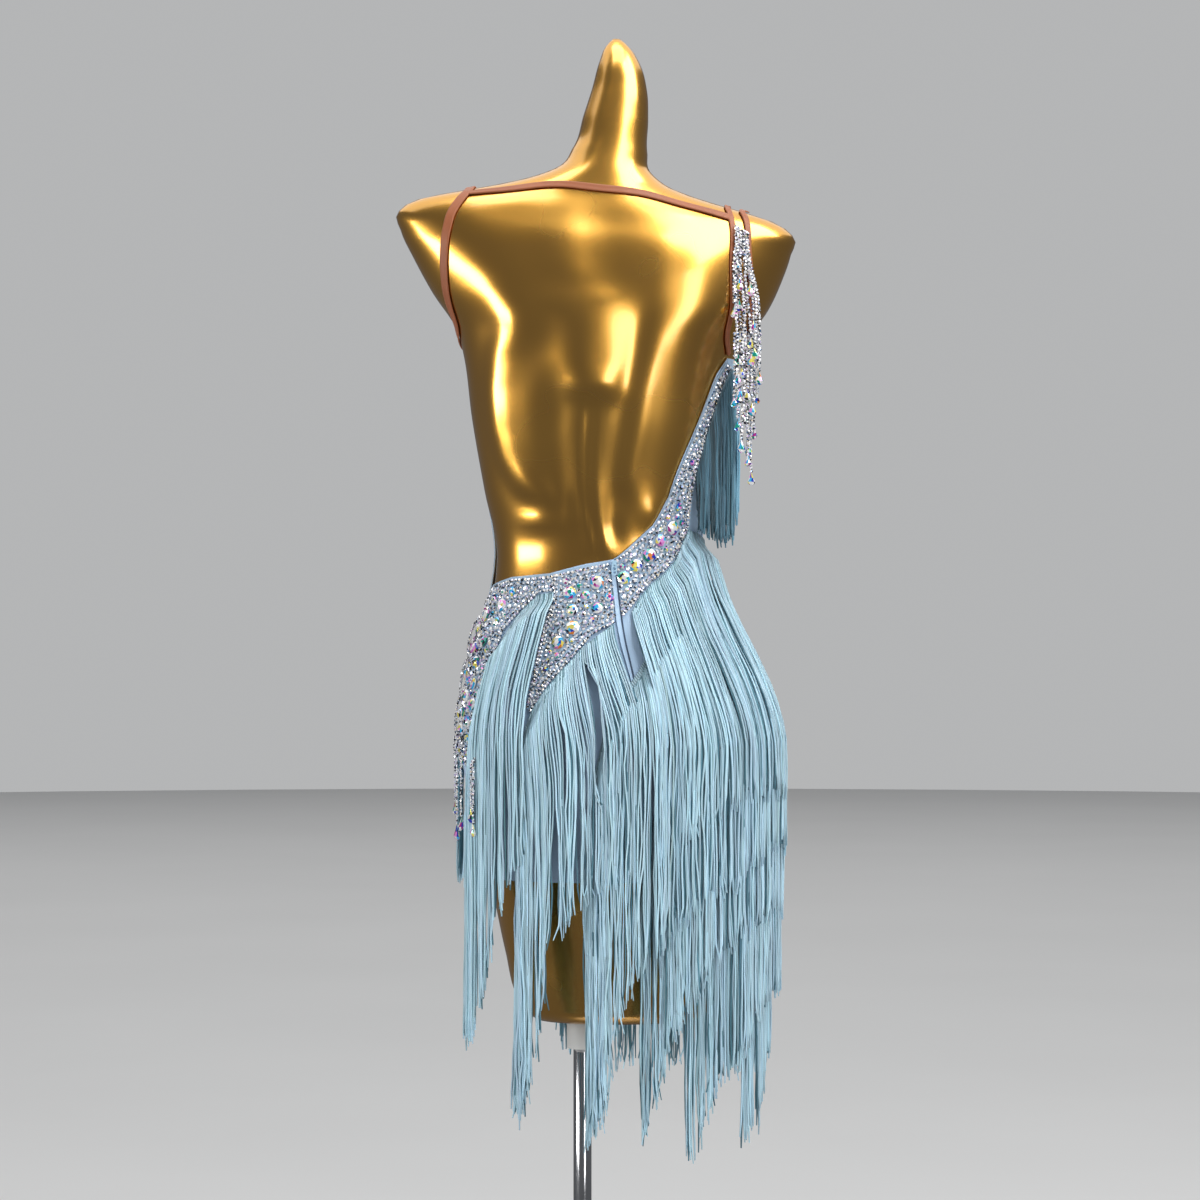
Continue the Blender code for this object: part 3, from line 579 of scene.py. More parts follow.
# Patches: a row for each station, from its lower or inner edge (a) to its upper or outer edge (b).
BACK_LEFT = (
    # angle a, height a, angle b, height b
    (2, SKIRT_HEM, 2, 992),
    (18, SKIRT_HEM, 18, 1006),
    (36, SKIRT_HEM, 36, 1012),
    (64, SKIRT_HEM, 64, 1016),
    (84, SKIRT_HEM, 84, 1026),
    (ZIP_ANGLE - SEAM_TURN, SKIRT_HEM, ZIP_ANGLE - SEAM_TURN, 1031),
)
BACK_RIGHT = (
    (ZIP_ANGLE + SEAM_TURN, SKIRT_HEM, ZIP_ANGLE + SEAM_TURN, 1032),
    (106, SKIRT_HEM, 106, 1035),
    (178, SKIRT_HEM, 178, 1010),
)
BODICE_SIDE = (
    (106, 1035.4, 106, 1044),
    (120, 1030.5, 120, 1066),
    (130.5, 1027, 130.5, 1096),
    (140.5, 1023.5, 140.5, 1160),
    (150, 1020.2, 150, 1228),
    (156, 1018, 156, 1246),
    (178, 1010.4, 178, 1246),
)
SKIRT_FRONT = (
    (178.2, SKIRT_HEM, 178.2, 1010),
    (270, SKIRT_HEM, 270, 1000),
    (361.8, SKIRT_HEM, 361.8, 990),
)
BODICE_FRONT = (
    (178.2, 1010.4, 361.8, 990.4),
    (178.2, 1060, 350, 1060),
    (178.2, 1140, 338, 1140),
    (178.2, 1200, 331, 1200),
    (178.2, 1246, 326, 1246),
    (204, 1276, 322, 1268),
    (222, 1300, 318, 1290),
)
HIP_YOKE = (
    (66.2, 999, 66.2, 1016),
    (58, 998, 55, 1014),
    (47, 977, 38, 1012),
    (38, 957, 16, 1004),
    (34, 924, -4, 974),
    (31.5, 888, -9, 930),
    (30.5, 860, -10, 880),
    (27, 815, -10, 832),
)
BACK_LEFT_YOKE = (
    (59.2, 874, 58.2, 878),
    (65.5, 902, 61, 926),
    (76.5, 932, 63.5, 958),
    (85, 954, 66.9, 988),
    (89.5, 960, 67.1, 1016),
    (ZIP_ANGLE - 2.4, 967, ZIP_ANGLE - 2.4, 1029),
)
BACK_RIGHT_YOKE = (
    (ZIP_ANGLE + 0.6, 972, ZIP_ANGLE + 0.6, 1032),
    (102, 981, 106, 1044),
    (107, 994, 114, 1056),
    (114.5, 1008, 120.5, 1066),
    (124.5, 1020, 125.5, 1082),
    (136, 1040, 130.5, 1096),
    (146, 1066, 136, 1128),
    (148, 1130, 140.5, 1160),
    (149.5, 1180, 144.5, 1194),
    (154.5, 1216, 149.5, 1224),
    (159, 1238, 154.5, 1243),
)
ZIP_PLACKET = (
    (ZIP_ANGLE - 1.9, 1030, ZIP_ANGLE + 0.1, 1031),
    (ZIP_ANGLE - 1.9, 968, ZIP_ANGLE + 0.1, 970),
    (ZIP_ANGLE - 1.4, 940, ZIP_ANGLE + 0.3, 941),
    (ZIP_ANGLE - 0.2, 905, ZIP_ANGLE + 0.7, 906),
)
ZIP_LINE = (
    (ZIP_ANGLE - 0.1, 1031, ZIP_ANGLE + 1.7, 1031.5),
    (ZIP_ANGLE + 0.0, 1012, ZIP_ANGLE + 0.75, 1012),
    (ZIP_ANGLE + 0.05, 969, ZIP_ANGLE + 0.8, 970),
    (ZIP_ANGLE + 0.25, 940, ZIP_ANGLE + 0.9, 941),
    (ZIP_ANGLE + 0.7, 905, ZIP_ANGLE + 1.3, 906),
)


def patch_places(stations, along, across):
    """Angles and heights (metres) at shares along the rows of stations and across from edge a to edge
    b."""
    table = np.array(stations, float)
    row = np.arange(len(table))
    columns = [np.interp(along * (len(table) - 1), row, column) for column in table.T]
    angle = columns[0] * (1 - across) + columns[2] * across
    height = columns[1] * (1 - across) + columns[3] * across
    return angle, height * MM


def row_shares(stations, spacing):
    """Shares along the stations at about one spacing (mm), each gap between stations split evenly."""
    table = np.array(stations, float)
    shares = [0.0]
    for number, (here, there) in enumerate(zip(table[:-1], table[1:])):
        gap = max(np.hypot((there[k] - here[k]) * MM_PER_DEGREE, there[k + 1] - here[k + 1]) for k in (0, 2))
        steps = max(1, math.ceil(gap / spacing))
        shares += list((number + np.arange(1, steps + 1) / steps) / (len(table) - 1))
    return np.array(shares)


def creases(angle, height, depth, seed):
    """Soft uneven creases: a few slanted waves of different length, fading in and out, as metres of
    rise."""
    rng = np.random.default_rng(seed)
    rise = np.zeros_like(angle)
    for number in range(CREASE_WAVES):
        turn, climb = rng.uniform(0.05, 0.22), rng.uniform(-14, 14)
        fade = 0.5 + 0.5 * np.sin(angle * rng.uniform(0.02, 0.06) + height * rng.uniform(8, 20) + number)
        rise += fade * np.sin(angle * turn + height * climb + rng.uniform(0, 6.3)) ** 3
    return rise / CREASE_WAVES * depth


def cloth_wall(name, stands_for, stations, across, sides, finish, slot, crease=0.0, seed=1, spacing=6.0,
               edge_roll=0.0):
    """A thin wall over a patch, moved off the skin by its two sides' distances; edge_roll swells the
    outer side into a narrow rounded hem along both long edges."""
    along = row_shares(stations, spacing)[:, None] * np.ones(across + 1)
    share = np.ones((len(along), 1)) * np.linspace(0, 1, across + 1)
    angle, height = patch_places(stations, along, share)
    rise = creases(angle, height, crease, seed)
    if edge_roll:
        rim = np.minimum(share, 1 - share) * across
        rise = rise + edge_roll * np.exp(-((rim - 1) ** 2))
    outer = off_form(angle, height, sides[1] * MM + rise)
    inner = off_form(angle, height, sides[0] * MM + np.minimum(rise, 0.2 * MM))
    points, faces = shell_arrays(outer, inner)
    flat = np.stack([angle * MAP_MM_PER_DEGREE * MM, height], axis=-1).reshape(-1, 2)
    return make_piece(name, points, [faces], finish.material, stands_for,
                      uv=np.concatenate([flat, flat]), sharp=60)


BODY = (stretch_cloth, "stretch_cloth")
# The yokes' cloth takes the painted shade of its stones.
OVERLAY = (stoned_cloth, "stoned_cloth")
BACK_CREASE, FRONT_CREASE = 0.5 * MM, 0.9 * MM
YOKE_EDGE = {"spacing": 4.0, "edge_roll": 0.4 * MM}
CLOTH = {
    # piece: (solid, patch, strips across, distances off the skin, finish and slot, creases or rolled edge)
    "panel_back_left": ("skirt_back_left", BACK_LEFT, 48, BODY_SEAT, BODY,
                        {"crease": BACK_CREASE, "seed": 3}),
    "panel_back_right": ("skirt_back_right", BACK_RIGHT, 48, BODY_SEAT, BODY,
                         {"crease": BACK_CREASE, "seed": 4}),
    "panel_side_right": ("bodice_side_right", BODICE_SIDE, 30, BODY_SEAT, BODY,
                         {"crease": BACK_CREASE, "seed": 5}),
    "panel_skirt_front": ("skirt_front", SKIRT_FRONT, 44, BODY_SEAT, BODY,
                          {"crease": FRONT_CREASE, "seed": 6}),
    "panel_bodice_front": ("bodice_front", BODICE_FRONT, 80, FRONT_SEAT, BODY,
                           {"crease": FRONT_CREASE, "seed": 7, "edge_roll": 0.5 * MM}),
    "yoke_cloth_hip": ("yoke_hip_left", HIP_YOKE, 24, YOKE_SEAT, OVERLAY, YOKE_EDGE),
    "yoke_cloth_left": ("yoke_back_left", BACK_LEFT_YOKE, 24, YOKE_SEAT, OVERLAY, YOKE_EDGE),
    "yoke_cloth_right": ("yoke_back_right", BACK_RIGHT_YOKE, 24, YOKE_SEAT, OVERLAY, YOKE_EDGE),
    "zip_flap": ("zip_placket", ZIP_PLACKET, 10, FLAP_SEAT, BODY, {"spacing": 4.0, "edge_roll": 0.2 * MM}),
}
panels = {
    name: cloth_wall(name, (solid,), stations, across, seat, *made_of, **shaping)
    for name, (solid, stations, across, seat, made_of, shaping) in CLOTH.items()
}

# ---------------------------------------------------------------- cut stones

# Facets of clear stones: painted highlights, painted reflections and painted shade, white, grey, black and a
# few coloured.
CLEAR_PAINTED_GLINTS = (
    # share, red, green, blue
    (0.54, 1.00, 1.00, 1.00),
    (0.12, 0.50, 0.54, 0.62),
    (0.10, 0.14, 0.16, 0.20),
    (0.22, 0.008, 0.010, 0.016),
    (0.08, 0.42, 0.56, 0.90),
    (0.04, 0.85, 0.62, 0.95),
    (0.04, 1.00, 0.88, 0.55),
)
# Facets of aurora stones: the coating's own rainbow colours, with painted white highlights and painted dark
# facets.
AURORA_AND_PAINTED_GLINTS = (
    (0.35, 1.00, 1.00, 0.98),
    (0.11, 0.05, 0.55, 0.98),
    (0.08, 0.02, 0.06, 0.55),
    (0.11, 0.01, 0.35, 0.25),
    (0.12, 1.00, 0.86, 0.16),
    (0.02, 0.95, 0.30, 0.06),
    (0.10, 1.00, 0.35, 0.85),
    (0.05, 0.45, 0.02, 0.30),
    (0.06, 0.02, 0.02, 0.04),
)

# Painted highlights and painted shade for the facets of small clear stones.
PAINTED_HIGHLIGHT_FACETS = np.array((WHITE,) * 5 + ((0.80, 0.88, 1.0), (1.0, 0.86, 0.66), (0.86, 0.70, 1.0)))
PAINTED_SHADE_FACETS = np.array(
    ((0.008, 0.010, 0.014),) * 3 + ((0.07, 0.08, 0.11), (0.05, 0.14, 0.30), (0.30, 0.33, 0.38)))
# A stone's facet gets a painted highlight where its facing, strayed by this much, lies above the threshold,
# and painted shade below it.
FACET_STRAY, PAINTED_HIGHLIGHT_FROM = 0.35, -0.35
# How much a hanging drop twists about its string and leans off the plumb line, in radians.
DROP_TWIST, DROP_LEAN = 0.12, 0.05


def facet_colours(palette, count, rng):
    """Colours drawn from a palette by its shares, each a little lighter or darker."""
    table = np.array(palette)
    picked = rng.choice(len(table), size=count, p=table[:, 0] / table[:, 0].sum())
    return table[picked, 1:] * rng.uniform(0.85, 1.1, (count, 1))


def painted_half_lit_colours(stones, rows, sides, rng):
    """Facets of small stones, row by row: painted highlights on those round one half of a stone and painted
    shade on the rest.
    """
    facing = np.arange(sides) * 2 * math.pi / sides + rng.uniform(0, 2 * math.pi, (stones, 1))
    stray = rng.normal(0, FACET_STRAY, (stones, rows, sides))
    lit = np.repeat(np.cos(facing)[:, None], rows, axis=1) + stray > PAINTED_HIGHLIGHT_FROM
    bright = PAINTED_HIGHLIGHT_FACETS[rng.integers(0, len(PAINTED_HIGHLIGHT_FACETS), lit.size)]
    dark = PAINTED_SHADE_FACETS[rng.integers(0, len(PAINTED_SHADE_FACETS), lit.size)]
    return np.where(lit.reshape(-1, 1), bright, dark)


def cut_profile(rings, sides):
    """A cut stone of unit radius: rings of (radius, height, turn), closed below and by a flat table
    above."""
    turn = np.arange(sides) * 2 * math.pi / sides
    points = np.concatenate([
        np.stack([radius * np.cos(turn + shift), radius * np.sin(turn + shift), np.full(sides, height)], -1)
        for radius, height, shift in rings
    ])
    last = (len(rings) - 1) * sides
    caps = np.array([np.arange(sides)[::-1], last + np.arange(sides)])
    return points, grid_faces(len(rings), sides, closed=True), caps


SMALL_CUT = cut_profile(((0.97, 0.0, 0.0), (1.03, 0.34, 0.0), (0.46, 0.84, 0.0)), 6)
LARGE_CUT = cut_profile(((0.97, 0.0, 0.0), (1.0, 0.26, 0.0), (0.70, 0.58, 0.39), (0.34, 0.76, 0.0)), 8)
DROP_CUT = cut_profile(
    ((0.10, -1.9, 0.0), (0.55, -0.7, 0.3), (1.0, 0.25, 0.0), (0.72, 0.85, 0.3), (0.2, 1.15, 0.0)), 8)


def lay_stones(cut, centres, normals, radii, palette, rng, tilt=0.2, squash=1.0, upright=False):
    """Copies of a cut stone as whole arrays: each is turned about its own tilted normal, scaled and
    moved. An upright one hangs point up instead, with its axis near the plumb line."""
    base, walls, caps = cut
    count = len(centres)
    normals = unit(normals + rng.normal(0, tilt, (count, 3)))
    aside = unit(np.cross(normals, np.array([0.0, 0.0, 1.0])))
    upward = np.cross(aside, normals)
    spin = rng.normal(0, DROP_TWIST, count) if upright else rng.uniform(0, 2 * math.pi, count)
    first = aside * np.cos(spin)[:, None] + upward * np.sin(spin)[:, None]
    second = np.cross(normals, first)
    if upright:
        plumb = unit(np.array([[0.0, 0.0, -1.0]]) + rng.normal(0, DROP_LEAN, (count, 3)))
        axes = (first, normals * squash, plumb)
    else:
        axes = (first, second, normals * squash)
    points = centres[:, None] + radii[:, None, None] * sum(
        base[None, :, k, None] * axes[k][:, None] for k in range(3))
    shift = (np.arange(count) * len(base))[:, None, None]
    sides = caps.shape[1]
    rows = len(walls) // sides
    walls = (walls[None] + shift).reshape(-1, walls.shape[1])
    caps = (caps[None] + shift).reshape(-1, sides)
    # Clear stones get a painted highlight on one half and painted shade on the other; aurora ones their
    # coating's colours with painted glints.
    if palette is CLEAR_PAINTED_GLINTS:
        wall_colours_and_painted_glints = painted_half_lit_colours(count, rows, sides, rng)
    else:
        wall_colours_and_painted_glints = facet_colours(palette, len(walls), rng)
    return points.reshape(-1, 3), [walls, caps], [wall_colours_and_painted_glints, facet_colours(palette, len(caps), rng)]


def stone_piece(name, parts, stands_for=()):
    """Several lots of stones, each (points, face blocks, facet colours with painted glints), as one piece
    with flat facets.
    """
    start, points, blocks, tints_and_glints = 0, [], {}, {}
    for part_points, part_faces, part_tints_and_glints in parts:
        for corners, colours in zip(part_faces, part_tints_and_glints):
            blocks.setdefault(corners.shape[1], []).append(corners + start)
            tints_and_glints.setdefault(corners.shape[1], []).append(colours)
        points.append(part_points)
        start += len(part_points)
    faces = [np.concatenate(blocks[size]) for size in blocks]
    colours = [np.concatenate(tints_and_glints[size]) for size in blocks]
    return make_piece(name, np.concatenate(points), faces, cut_crystal.material, stands_for,
                      smooth=False, face_tint_and_painted_light=colours)


STONE_SEAT = 4.75 * MM
STONE_ROWS = (
    # edge, inset, pitch and radius in mm, and the part of the edge if not the whole
    (0, -0.8, 4.1, 1.95),
    (0, 3.3, 4.2, 2.0),
    (1, 4.2, 4.3, 1.95),
)
STONE_KINDS = (
    # radius and least gap in mm, most, throws, packed in close rows first
    (7.0, 4.5, 16, 1200, False),
    (5.4, 4.5, 16, 1500, False),
    (2.9, 2.0, 60, 3000, False),
    (2.02, 0.03, 1500, 9000, True),
    (1.35, 0.02, 900, 12000, False),
)
MOST_STONES = 9000
# Margins in mm along edges a and b, and the cloth left bare beside the zip, in mm and in degrees.
EDGE_MARGINS = (0.0, 2.2)
ZIP_OFFSET, ZIP_CLEARANCE, ZIP_STRIP = 0.1, 1.3, 1.3
STONE_CLOSENESS = 0.97
# How far a stone keeps inside an edge, in radii, and limits for rows where a patch is narrow.
EDGE_KEEP, INWARD_RANGE, LEAST_BREADTH = 0.8, (-0.3, 0.5), 2.2
# Close rows: how far in from the edges they go in mm, their gap and the pitch along them in radii.
CLOSE_ROWS_TO, CLOSE_ROW_GAP, CLOSE_PITCH = 34, 1.84, 2.06
AURORA_SHARE = 0.35
STONE_BANDS = {
    # piece: (patch, seed, rows)
    "stones_hip": (HIP_YOKE, 11, STONE_ROWS),
    "stones_left": (BACK_LEFT_YOKE, 12, STONE_ROWS + ((1, 0.4, 4.1, 1.9, 0.0, 0.8),)),
    "stones_right": (BACK_RIGHT_YOKE, 13, STONE_ROWS),
}


def patch_edges(stations, along):
    """The two long edges of a patch at shares along it, and the breadth between them, in metres."""
    low, high = (off_form(*patch_places(stations, along, side), MEASURED_AT) for side in (0.0, 1.0))
    return low, high, np.linalg.norm(high - low, axis=1)


def edge_row(stations, edge, inset, pitch):
    """Shares along and across a patch of a neat row of stones, inset from edge a (0) or b (1), in
    mm."""
    along = np.linspace(0, 1, LINE_SAMPLES)
    low, high, breadth = patch_edges(stations, along)
    reach = reach_along(low if edge == 0 else high)
    steps = np.arange(pitch / 2, reach[-1] / MM, pitch) * MM
    share = np.interp(steps, reach, along)
    inward = np.clip(inset * MM / np.interp(share, along, breadth), *INWARD_RANGE)
    keep = np.interp(share, along, breadth) > LEAST_BREADTH * inset * MM
    return share[keep], (inward if edge == 0 else 1 - inward)[keep]


def neat_rows(stations, rng, rows):
    """Stones in rows along a patch's edges: their angles and heights, and radii that vary a little."""
    places, radii = [], []
    for edge, inset, pitch, radius, *part in rows:
        share, across = edge_row(stations, edge, inset, pitch)
        if part:
            among = (share >= part[0]) & (share <= part[1])
            share, across = share[among], across[among]
        places.append(np.c_[patch_places(stations, share, across)])
        radii.append(np.full(len(share), radius * MM) * rng.uniform(0.94, 1.04, len(share)))
    return np.concatenate(places), np.concatenate(radii)


def throws_over(stations, rng, radius, throws, packed):
    """Shares along and across a patch to try a kind of stone at: random ones, after close rows if
    packed."""
    along = rng.uniform(0, 1, throws)
    across = rng.uniform(0, 1, throws)
    if packed:
        insets = np.arange(EDGE_MARGINS[0] + 1.0, CLOSE_ROWS_TO, CLOSE_ROW_GAP * radius)
        pitch = CLOSE_PITCH * radius
        lines = [edge_row(stations, edge, inset, pitch) for inset in insets for edge in (0, 1)]
        along = np.concatenate([line[0] for line in lines] + [along])
        across = np.concatenate([line[1] for line in lines] + [across])
    return along, across


def scatter(stations, rng, rows):
    """Stones over a patch: neat rows first, then each kind at random places where it touches no
    other."""
    row_places, row_radii = neat_rows(stations, rng, rows)
    count = len(row_places)
    places, radii, kind_of = list(row_places), list(row_radii), [0] * count
    spots, sizes = np.zeros((MOST_STONES, 3)), np.zeros(MOST_STONES)
    spots[:count] = off_form(row_places[:, 0], row_places[:, 1], MEASURED_AT)
    sizes[:count] = row_radii
    for number, (radius, gap, most, throws, packed) in enumerate(STONE_KINDS):
        along, share = throws_over(stations, rng, radius, throws, packed)
        breadth = patch_edges(stations, along)[2] / MM
        inside = (share * breadth > EDGE_MARGINS[0] + radius * EDGE_KEEP) & (
            (1 - share) * breadth > EDGE_MARGINS[1] + radius * EDGE_KEEP)
        angle, height = patch_places(stations, along, share)
        inside &= np.abs(angle - ZIP_ANGLE + ZIP_OFFSET) * ZIP_MM_PER_DEGREE > radius + ZIP_CLEARANCE
        thrown = off_form(angle, height, MEASURED_AT)
        made = 0
        for k in np.flatnonzero(inside):
            size = radius * MM * rng.uniform(0.9, 1.1)
            apart = ((spots[:count] - thrown[k]) ** 2).sum(axis=1)
            if (apart > (sizes[:count] * STONE_CLOSENESS + size + gap * MM) ** 2).all():
                spots[count], sizes[count] = thrown[k], size
                places.append(np.array([angle[k], height[k]]))
                radii.append(size)
                kind_of.append(number + 1)
                count += 1
                made += 1
                if made >= most:
                    break
    return np.array(places), np.array(radii), np.array(kind_of)



def stone_band(name, stations, seed, rows):
    """Cut stones over a yoke, standing on its cloth: two large kinds and part of the middle one in
    aurora colours, the rest clear."""
    rng = np.random.default_rng(seed)
    places, radii, kind_of = scatter(stations, rng, rows)
    clear_of_zip = np.abs(places[:, 0] - ZIP_ANGLE + ZIP_OFFSET) > ZIP_STRIP
    places, radii, kind_of = places[clear_of_zip], radii[clear_of_zip], kind_of[clear_of_zip]
    centres = off_form(places[:, 0], places[:, 1], STONE_SEAT)
    normals = form_normal(places[:, 0], places[:, 1])
    large = (kind_of == 1) | (kind_of == 2)
    some = (kind_of == 3) & (rng.uniform(0, 1, len(kind_of)) < AURORA_SHARE)
    plain = ~large & ~some
    parts = [
        lay_stones(cut, centres[among], normals[among], radii[among], palette, rng, tilt, squash)
        for cut, among, palette, tilt, squash in (
            (SMALL_CUT, plain, CLEAR_PAINTED_GLINTS, 0.17, 1.0),
            (SMALL_CUT, some, AURORA_AND_PAINTED_GLINTS, 0.12, 1.0),
            (LARGE_CUT, large, AURORA_AND_PAINTED_GLINTS, 0.10, 0.8),
        )
    ]
    return stone_piece(name, parts)


stone_pieces = {name: stone_band(name, *band) for name, band in STONE_BANDS.items()}

# ---------------------------------------------------------------- fringe

FRINGE_ROWS = {
    # name: (the tape's distance off the skin in mm, the strands' at the row's start, middle and end,
    # lean at the two ends in degrees, places); a place is an angle, the height of the tape's lower edge
    # and that of the tips
    "fringe_hip_left": (3.6, (12.5, 19.5, 19.5), (0, -6.2), (
        (24.5, 792, 548), (27, 800, 545), (31, 845, 542), (33, 875, 540), (36.7, 911, 538),
        (40, 940, 552), (42.3, 946, 564), (48.3, 965, 592), (51.8, 973, 641), (58.5, 985, 689),
        (62, 986, 709), (67, 988, 723))),
    "fringe_back_left": (4.5, (16.9, 15.0, 12.0), (0, 5), (
        (54, 762, 472), (56.5, 811, 464), (58.5, 850, 487), (60.9, 868, 514), (63.1, 878, 569),
        (65.1, 886, 625), (68.7, 897, 643), (71.6, 906, 660), (75.2, 915, 675), (81.2, 931, 692),
        (93.6, 954, 697))),
    "fringe_back_right": (4.5, (13.2, 16.9, 16.9), (1.5, 0), (
        (102.3, 966, 712), (107.5, 982, 731), (115, 996, 748), (124, 1007, 769), (133.8, 1022, 781),
        (146.5, 1054, 783), (158, 1050, 783), (170, 1044, 780))),
    "fringe_tier_1": (4.6, (8.5, 14.5, 14.5), (0, 0), (
        (78.2, 742, 446), (79.5, 752, 432), (82, 796, 442), (84.8, 830, 459), (86.7, 852, 481),
        (88.5, 862, 531), (91.8, 879, 566), (95.6, 893, 600), (100.2, 907, 618), (105.7, 925, 637),
        (113.9, 949, 667), (118, 958, 681), (131.6, 977, 692), (150.7, 991, 724), (160.9, 996, 733),
        (177, 1000, 728), (194, 985, 700))),
    "fringe_tier_2": (4.5, (8.0, 11.7, 11.7), (0, 0), (
        (97, 737, 442), (98.5, 740, 433), (100.9, 747, 454), (103.5, 764, 486), (105.5, 789, 526),
        (107.7, 812, 543), (112.5, 848, 565), (114.9, 860, 582), (122.7, 888, 613), (134.8, 910, 641),
        (145.6, 919, 649), (160.4, 925, 661), (177.5, 930, 659), (194, 922, 640))),
    "fringe_tier_3": (3.0, (7.0, 9.1, 9.1), (0, 0), (
        (117, 718, 416), (121.6, 721, 414), (123.2, 722, 443), (126.3, 736, 463), (129.7, 756, 489),
        (140.1, 798, 529), (144.1, 812, 553), (160.7, 841, 575), (175.8, 849, 587), (194, 845, 570))),
    "fringe_tier_4": (3.0, (6.5, 6.5, 6.5), (0, 0), (
        (151, 718, 416), (152.7, 720, 428), (159.8, 732, 442), (169.5, 748, 481), (177.6, 765, 525),
        (194, 780, 500))),
    "fringe_front_upper": (3.0, (11.7, 11.7, 11.7), (0, 0), (
        (200, 905, 610), (235, 893, 598), (270, 888, 592), (291, 884, 604), (312, 880, 690),
        (346, 872, 694))),
    "fringe_front_lower": (3.0, (6.5, 6.5, 6.5), (0, 0), (
        (200, 775, 480), (235, 782, 488), (270, 776, 482), (291, 780, 505), (312, 784, 684),
        (352, 780, 690))),
    "fringe_bust": (4.5, (6.4, 6.4, 6.4), (0, 0), (
        (148.6, 1112, 1066), (150.6, 1168, 1058), (155, 1206, 1054), (160, 1228, 1056),
        (166, 1226, 1074), (181, 1222, 1090), (200, 1226, 1084), (225, 1228, 1080), (262, 1218, 1070))),
}
# Places where the strands of a row part: angles at the upper and lower end, heights, half width in degrees.
PARTINGS = {
    "fringe_back_left": ((85.6, 83.2, 915, 790, 1.15), (73.5, 73.2, 868, 760, 0.6)),
    "fringe_hip_left": ((40.5, 40.5, 740, 545, 0.5),),
    "fringe_back_right": ((128.0, 128.5, 850, 735, 0.8),),
}
# The one row that falls free of the skin, and the stretches of tape, as angles, that no strand covers.
FREE_ROW = "fringe_bust"
BARE_TAPE = {"fringe_tier_1": ((81, 88.5), (96.4, 104.5))}
TAPE_HEIGHT, TAPE_ROWS, TAPE_SAMPLES = 8 * MM, 6, 400
TAPE_STEP, TAPE_RIB, TAPE_SLANT = 0.65 * MM, 2.6 * MM, 1.6
# The tape's thickness and its ribs' rise in mm; the ribs' painted shade: the colour share at their middle,
# and how far crests are painted lighter and grooves darker.
TAPE_THICK, RIB_RISE, RIB_PAINTED_SHADE, RIB_PAINTED_CONTRAST = 1.2, 0.5, 0.66, 0.46
# The skin's widest level, below which strands fall plumb.
HANG_LEVEL = 840 * MM
STRAND_PITCH, STRAND_RADIUS, STRAND_SIDES = 1.3 * MM, 1.08 * MM, 4
# How far up its tape a strand starts, and how far up a bare stretch of tape.
STRAND_LIFT, BARE_LIFT = 8.0 * MM, 0.6 * MM
# Steps of a strand's fall: close ones over the tape, then even ones to the tip.
STRAND_DROPS = np.array([0, 6.5, 12, 18, 26]) * MM
STRAND_STEPS = 15
# Places in turn over and under the middle of the row, in mm; the under ones are shorter and carry painted
# shade.
OVER, UNDER, UNDER_SHORTER = 0.85, -0.65, 7 * MM
# Waves of a strand: size in mm and length in metres. Loose strands stray further.
STRAND_WAVES = ((0.75, 0.165), (0.30, 0.080), (0.11, 0.036))
LOOSE_SHARE, LOOSE_STRAY = 0.07, 3.2
WAVE_SPREAD, WAVE_FALL = 0.22, 0.08
SWAY_MM_PER_DEGREE = 2.5
# A lock gathers to its middle by a share of the way, and sways and drifts by these, in mm.
GATHER, GATHER_SPREAD, GATHER_RANGE = 0.15, 0.14, (-0.12, 0.5)
LOCK_SWAY, LOCK_DRIFT, DRIFT_FALL = 1.7, 0.9, 0.09
# A row's lean grows over this fall in metres; a strand's last bit is kinked by this many mm.
LEAN_FALL, TIP_KINK = 0.10, 1.6
# Strands off the tape at the root and off the row's distance further down, and what single ones add, in mm.
ROOT_OUT, ROW_OUT, LAYER_STRAY, LOOSE_OUT, RIPPLE = 1.5, 0.6, 0.22, 0.9, 0.4
# How unevenly the tips end, how far up some end, and how much a strand thins at its tip.
TIP_STRAY, TIP_SHORT, TIP_THINNING = 4.5 * MM, 3 * MM, 0.35
# Each strand's own random tone, the painted light on the over strands, the painted shade on the under ones
# and the painted light at the tip, and the under ones' painted shade hue.
STRAND_LIGHT, OVER_PAINTED_LIGHT, UNDER_PAINTED_SHADE, TIP_PAINTED_LIGHT = (0.74, 1.20), 1.06, 0.36, 0.25
# The bust row's painted light: its share at the free edge, in the band's shadow, its rise, where that starts
# and over how many degrees.
BUST_PAINTED_LIGHT, BUST_PAINTED_RISE, BUST_EDGE, BUST_REACH = 0.5, 1.35, 152, 20
# Painted shade: the under strands' shift towards teal.
UNDER_PAINTED_SHADE_HUE = np.array([-0.42, -0.06, 0.04])
# Painted shade: the whole bust row, tape and strands, is darker and bluer because it hangs in the band's
# shadow.
BUST_PAINTED_SHADE = (0.235, 0.365, 0.42)


def tape_line(places, samples):
    """A tape's places as a table, even angles along its lower edge, and the distance run to each."""
    table = np.array(places, float)
    angle = np.linspace(table[0, 0], table[-1, 0], samples)
    height = np.interp(angle, table[:, 0], table[:, 1]) * MM
    return table, angle, reach_along(off_form(angle, height, MEASURED_AT))


def along_tape(places, rng):
    """Angles, root heights and tip heights at even steps of the tape's own length, each strayed a
    little."""
    table, angle, reach = tape_line(places, LINE_SAMPLES)
    steps = np.arange(STRAND_PITCH / 2, reach[-1], STRAND_PITCH)
    steps = np.clip(steps + rng.normal(0, 0.2 * STRAND_PITCH, len(steps)), 0, reach[-1])
    angle = np.sort(np.interp(steps, reach, angle))
    root, tip = (np.interp(angle, table[:, 0], table[:, column]) * MM for column in (1, 2))
    return angle, root, tip


def locks_of(count, rng):
    """Number of the lock that each strand gathers into: locks of 2 to 9 strands."""
    sizes = rng.integers(2, 10, count)
    return np.repeat(np.arange(count), sizes)[:count]


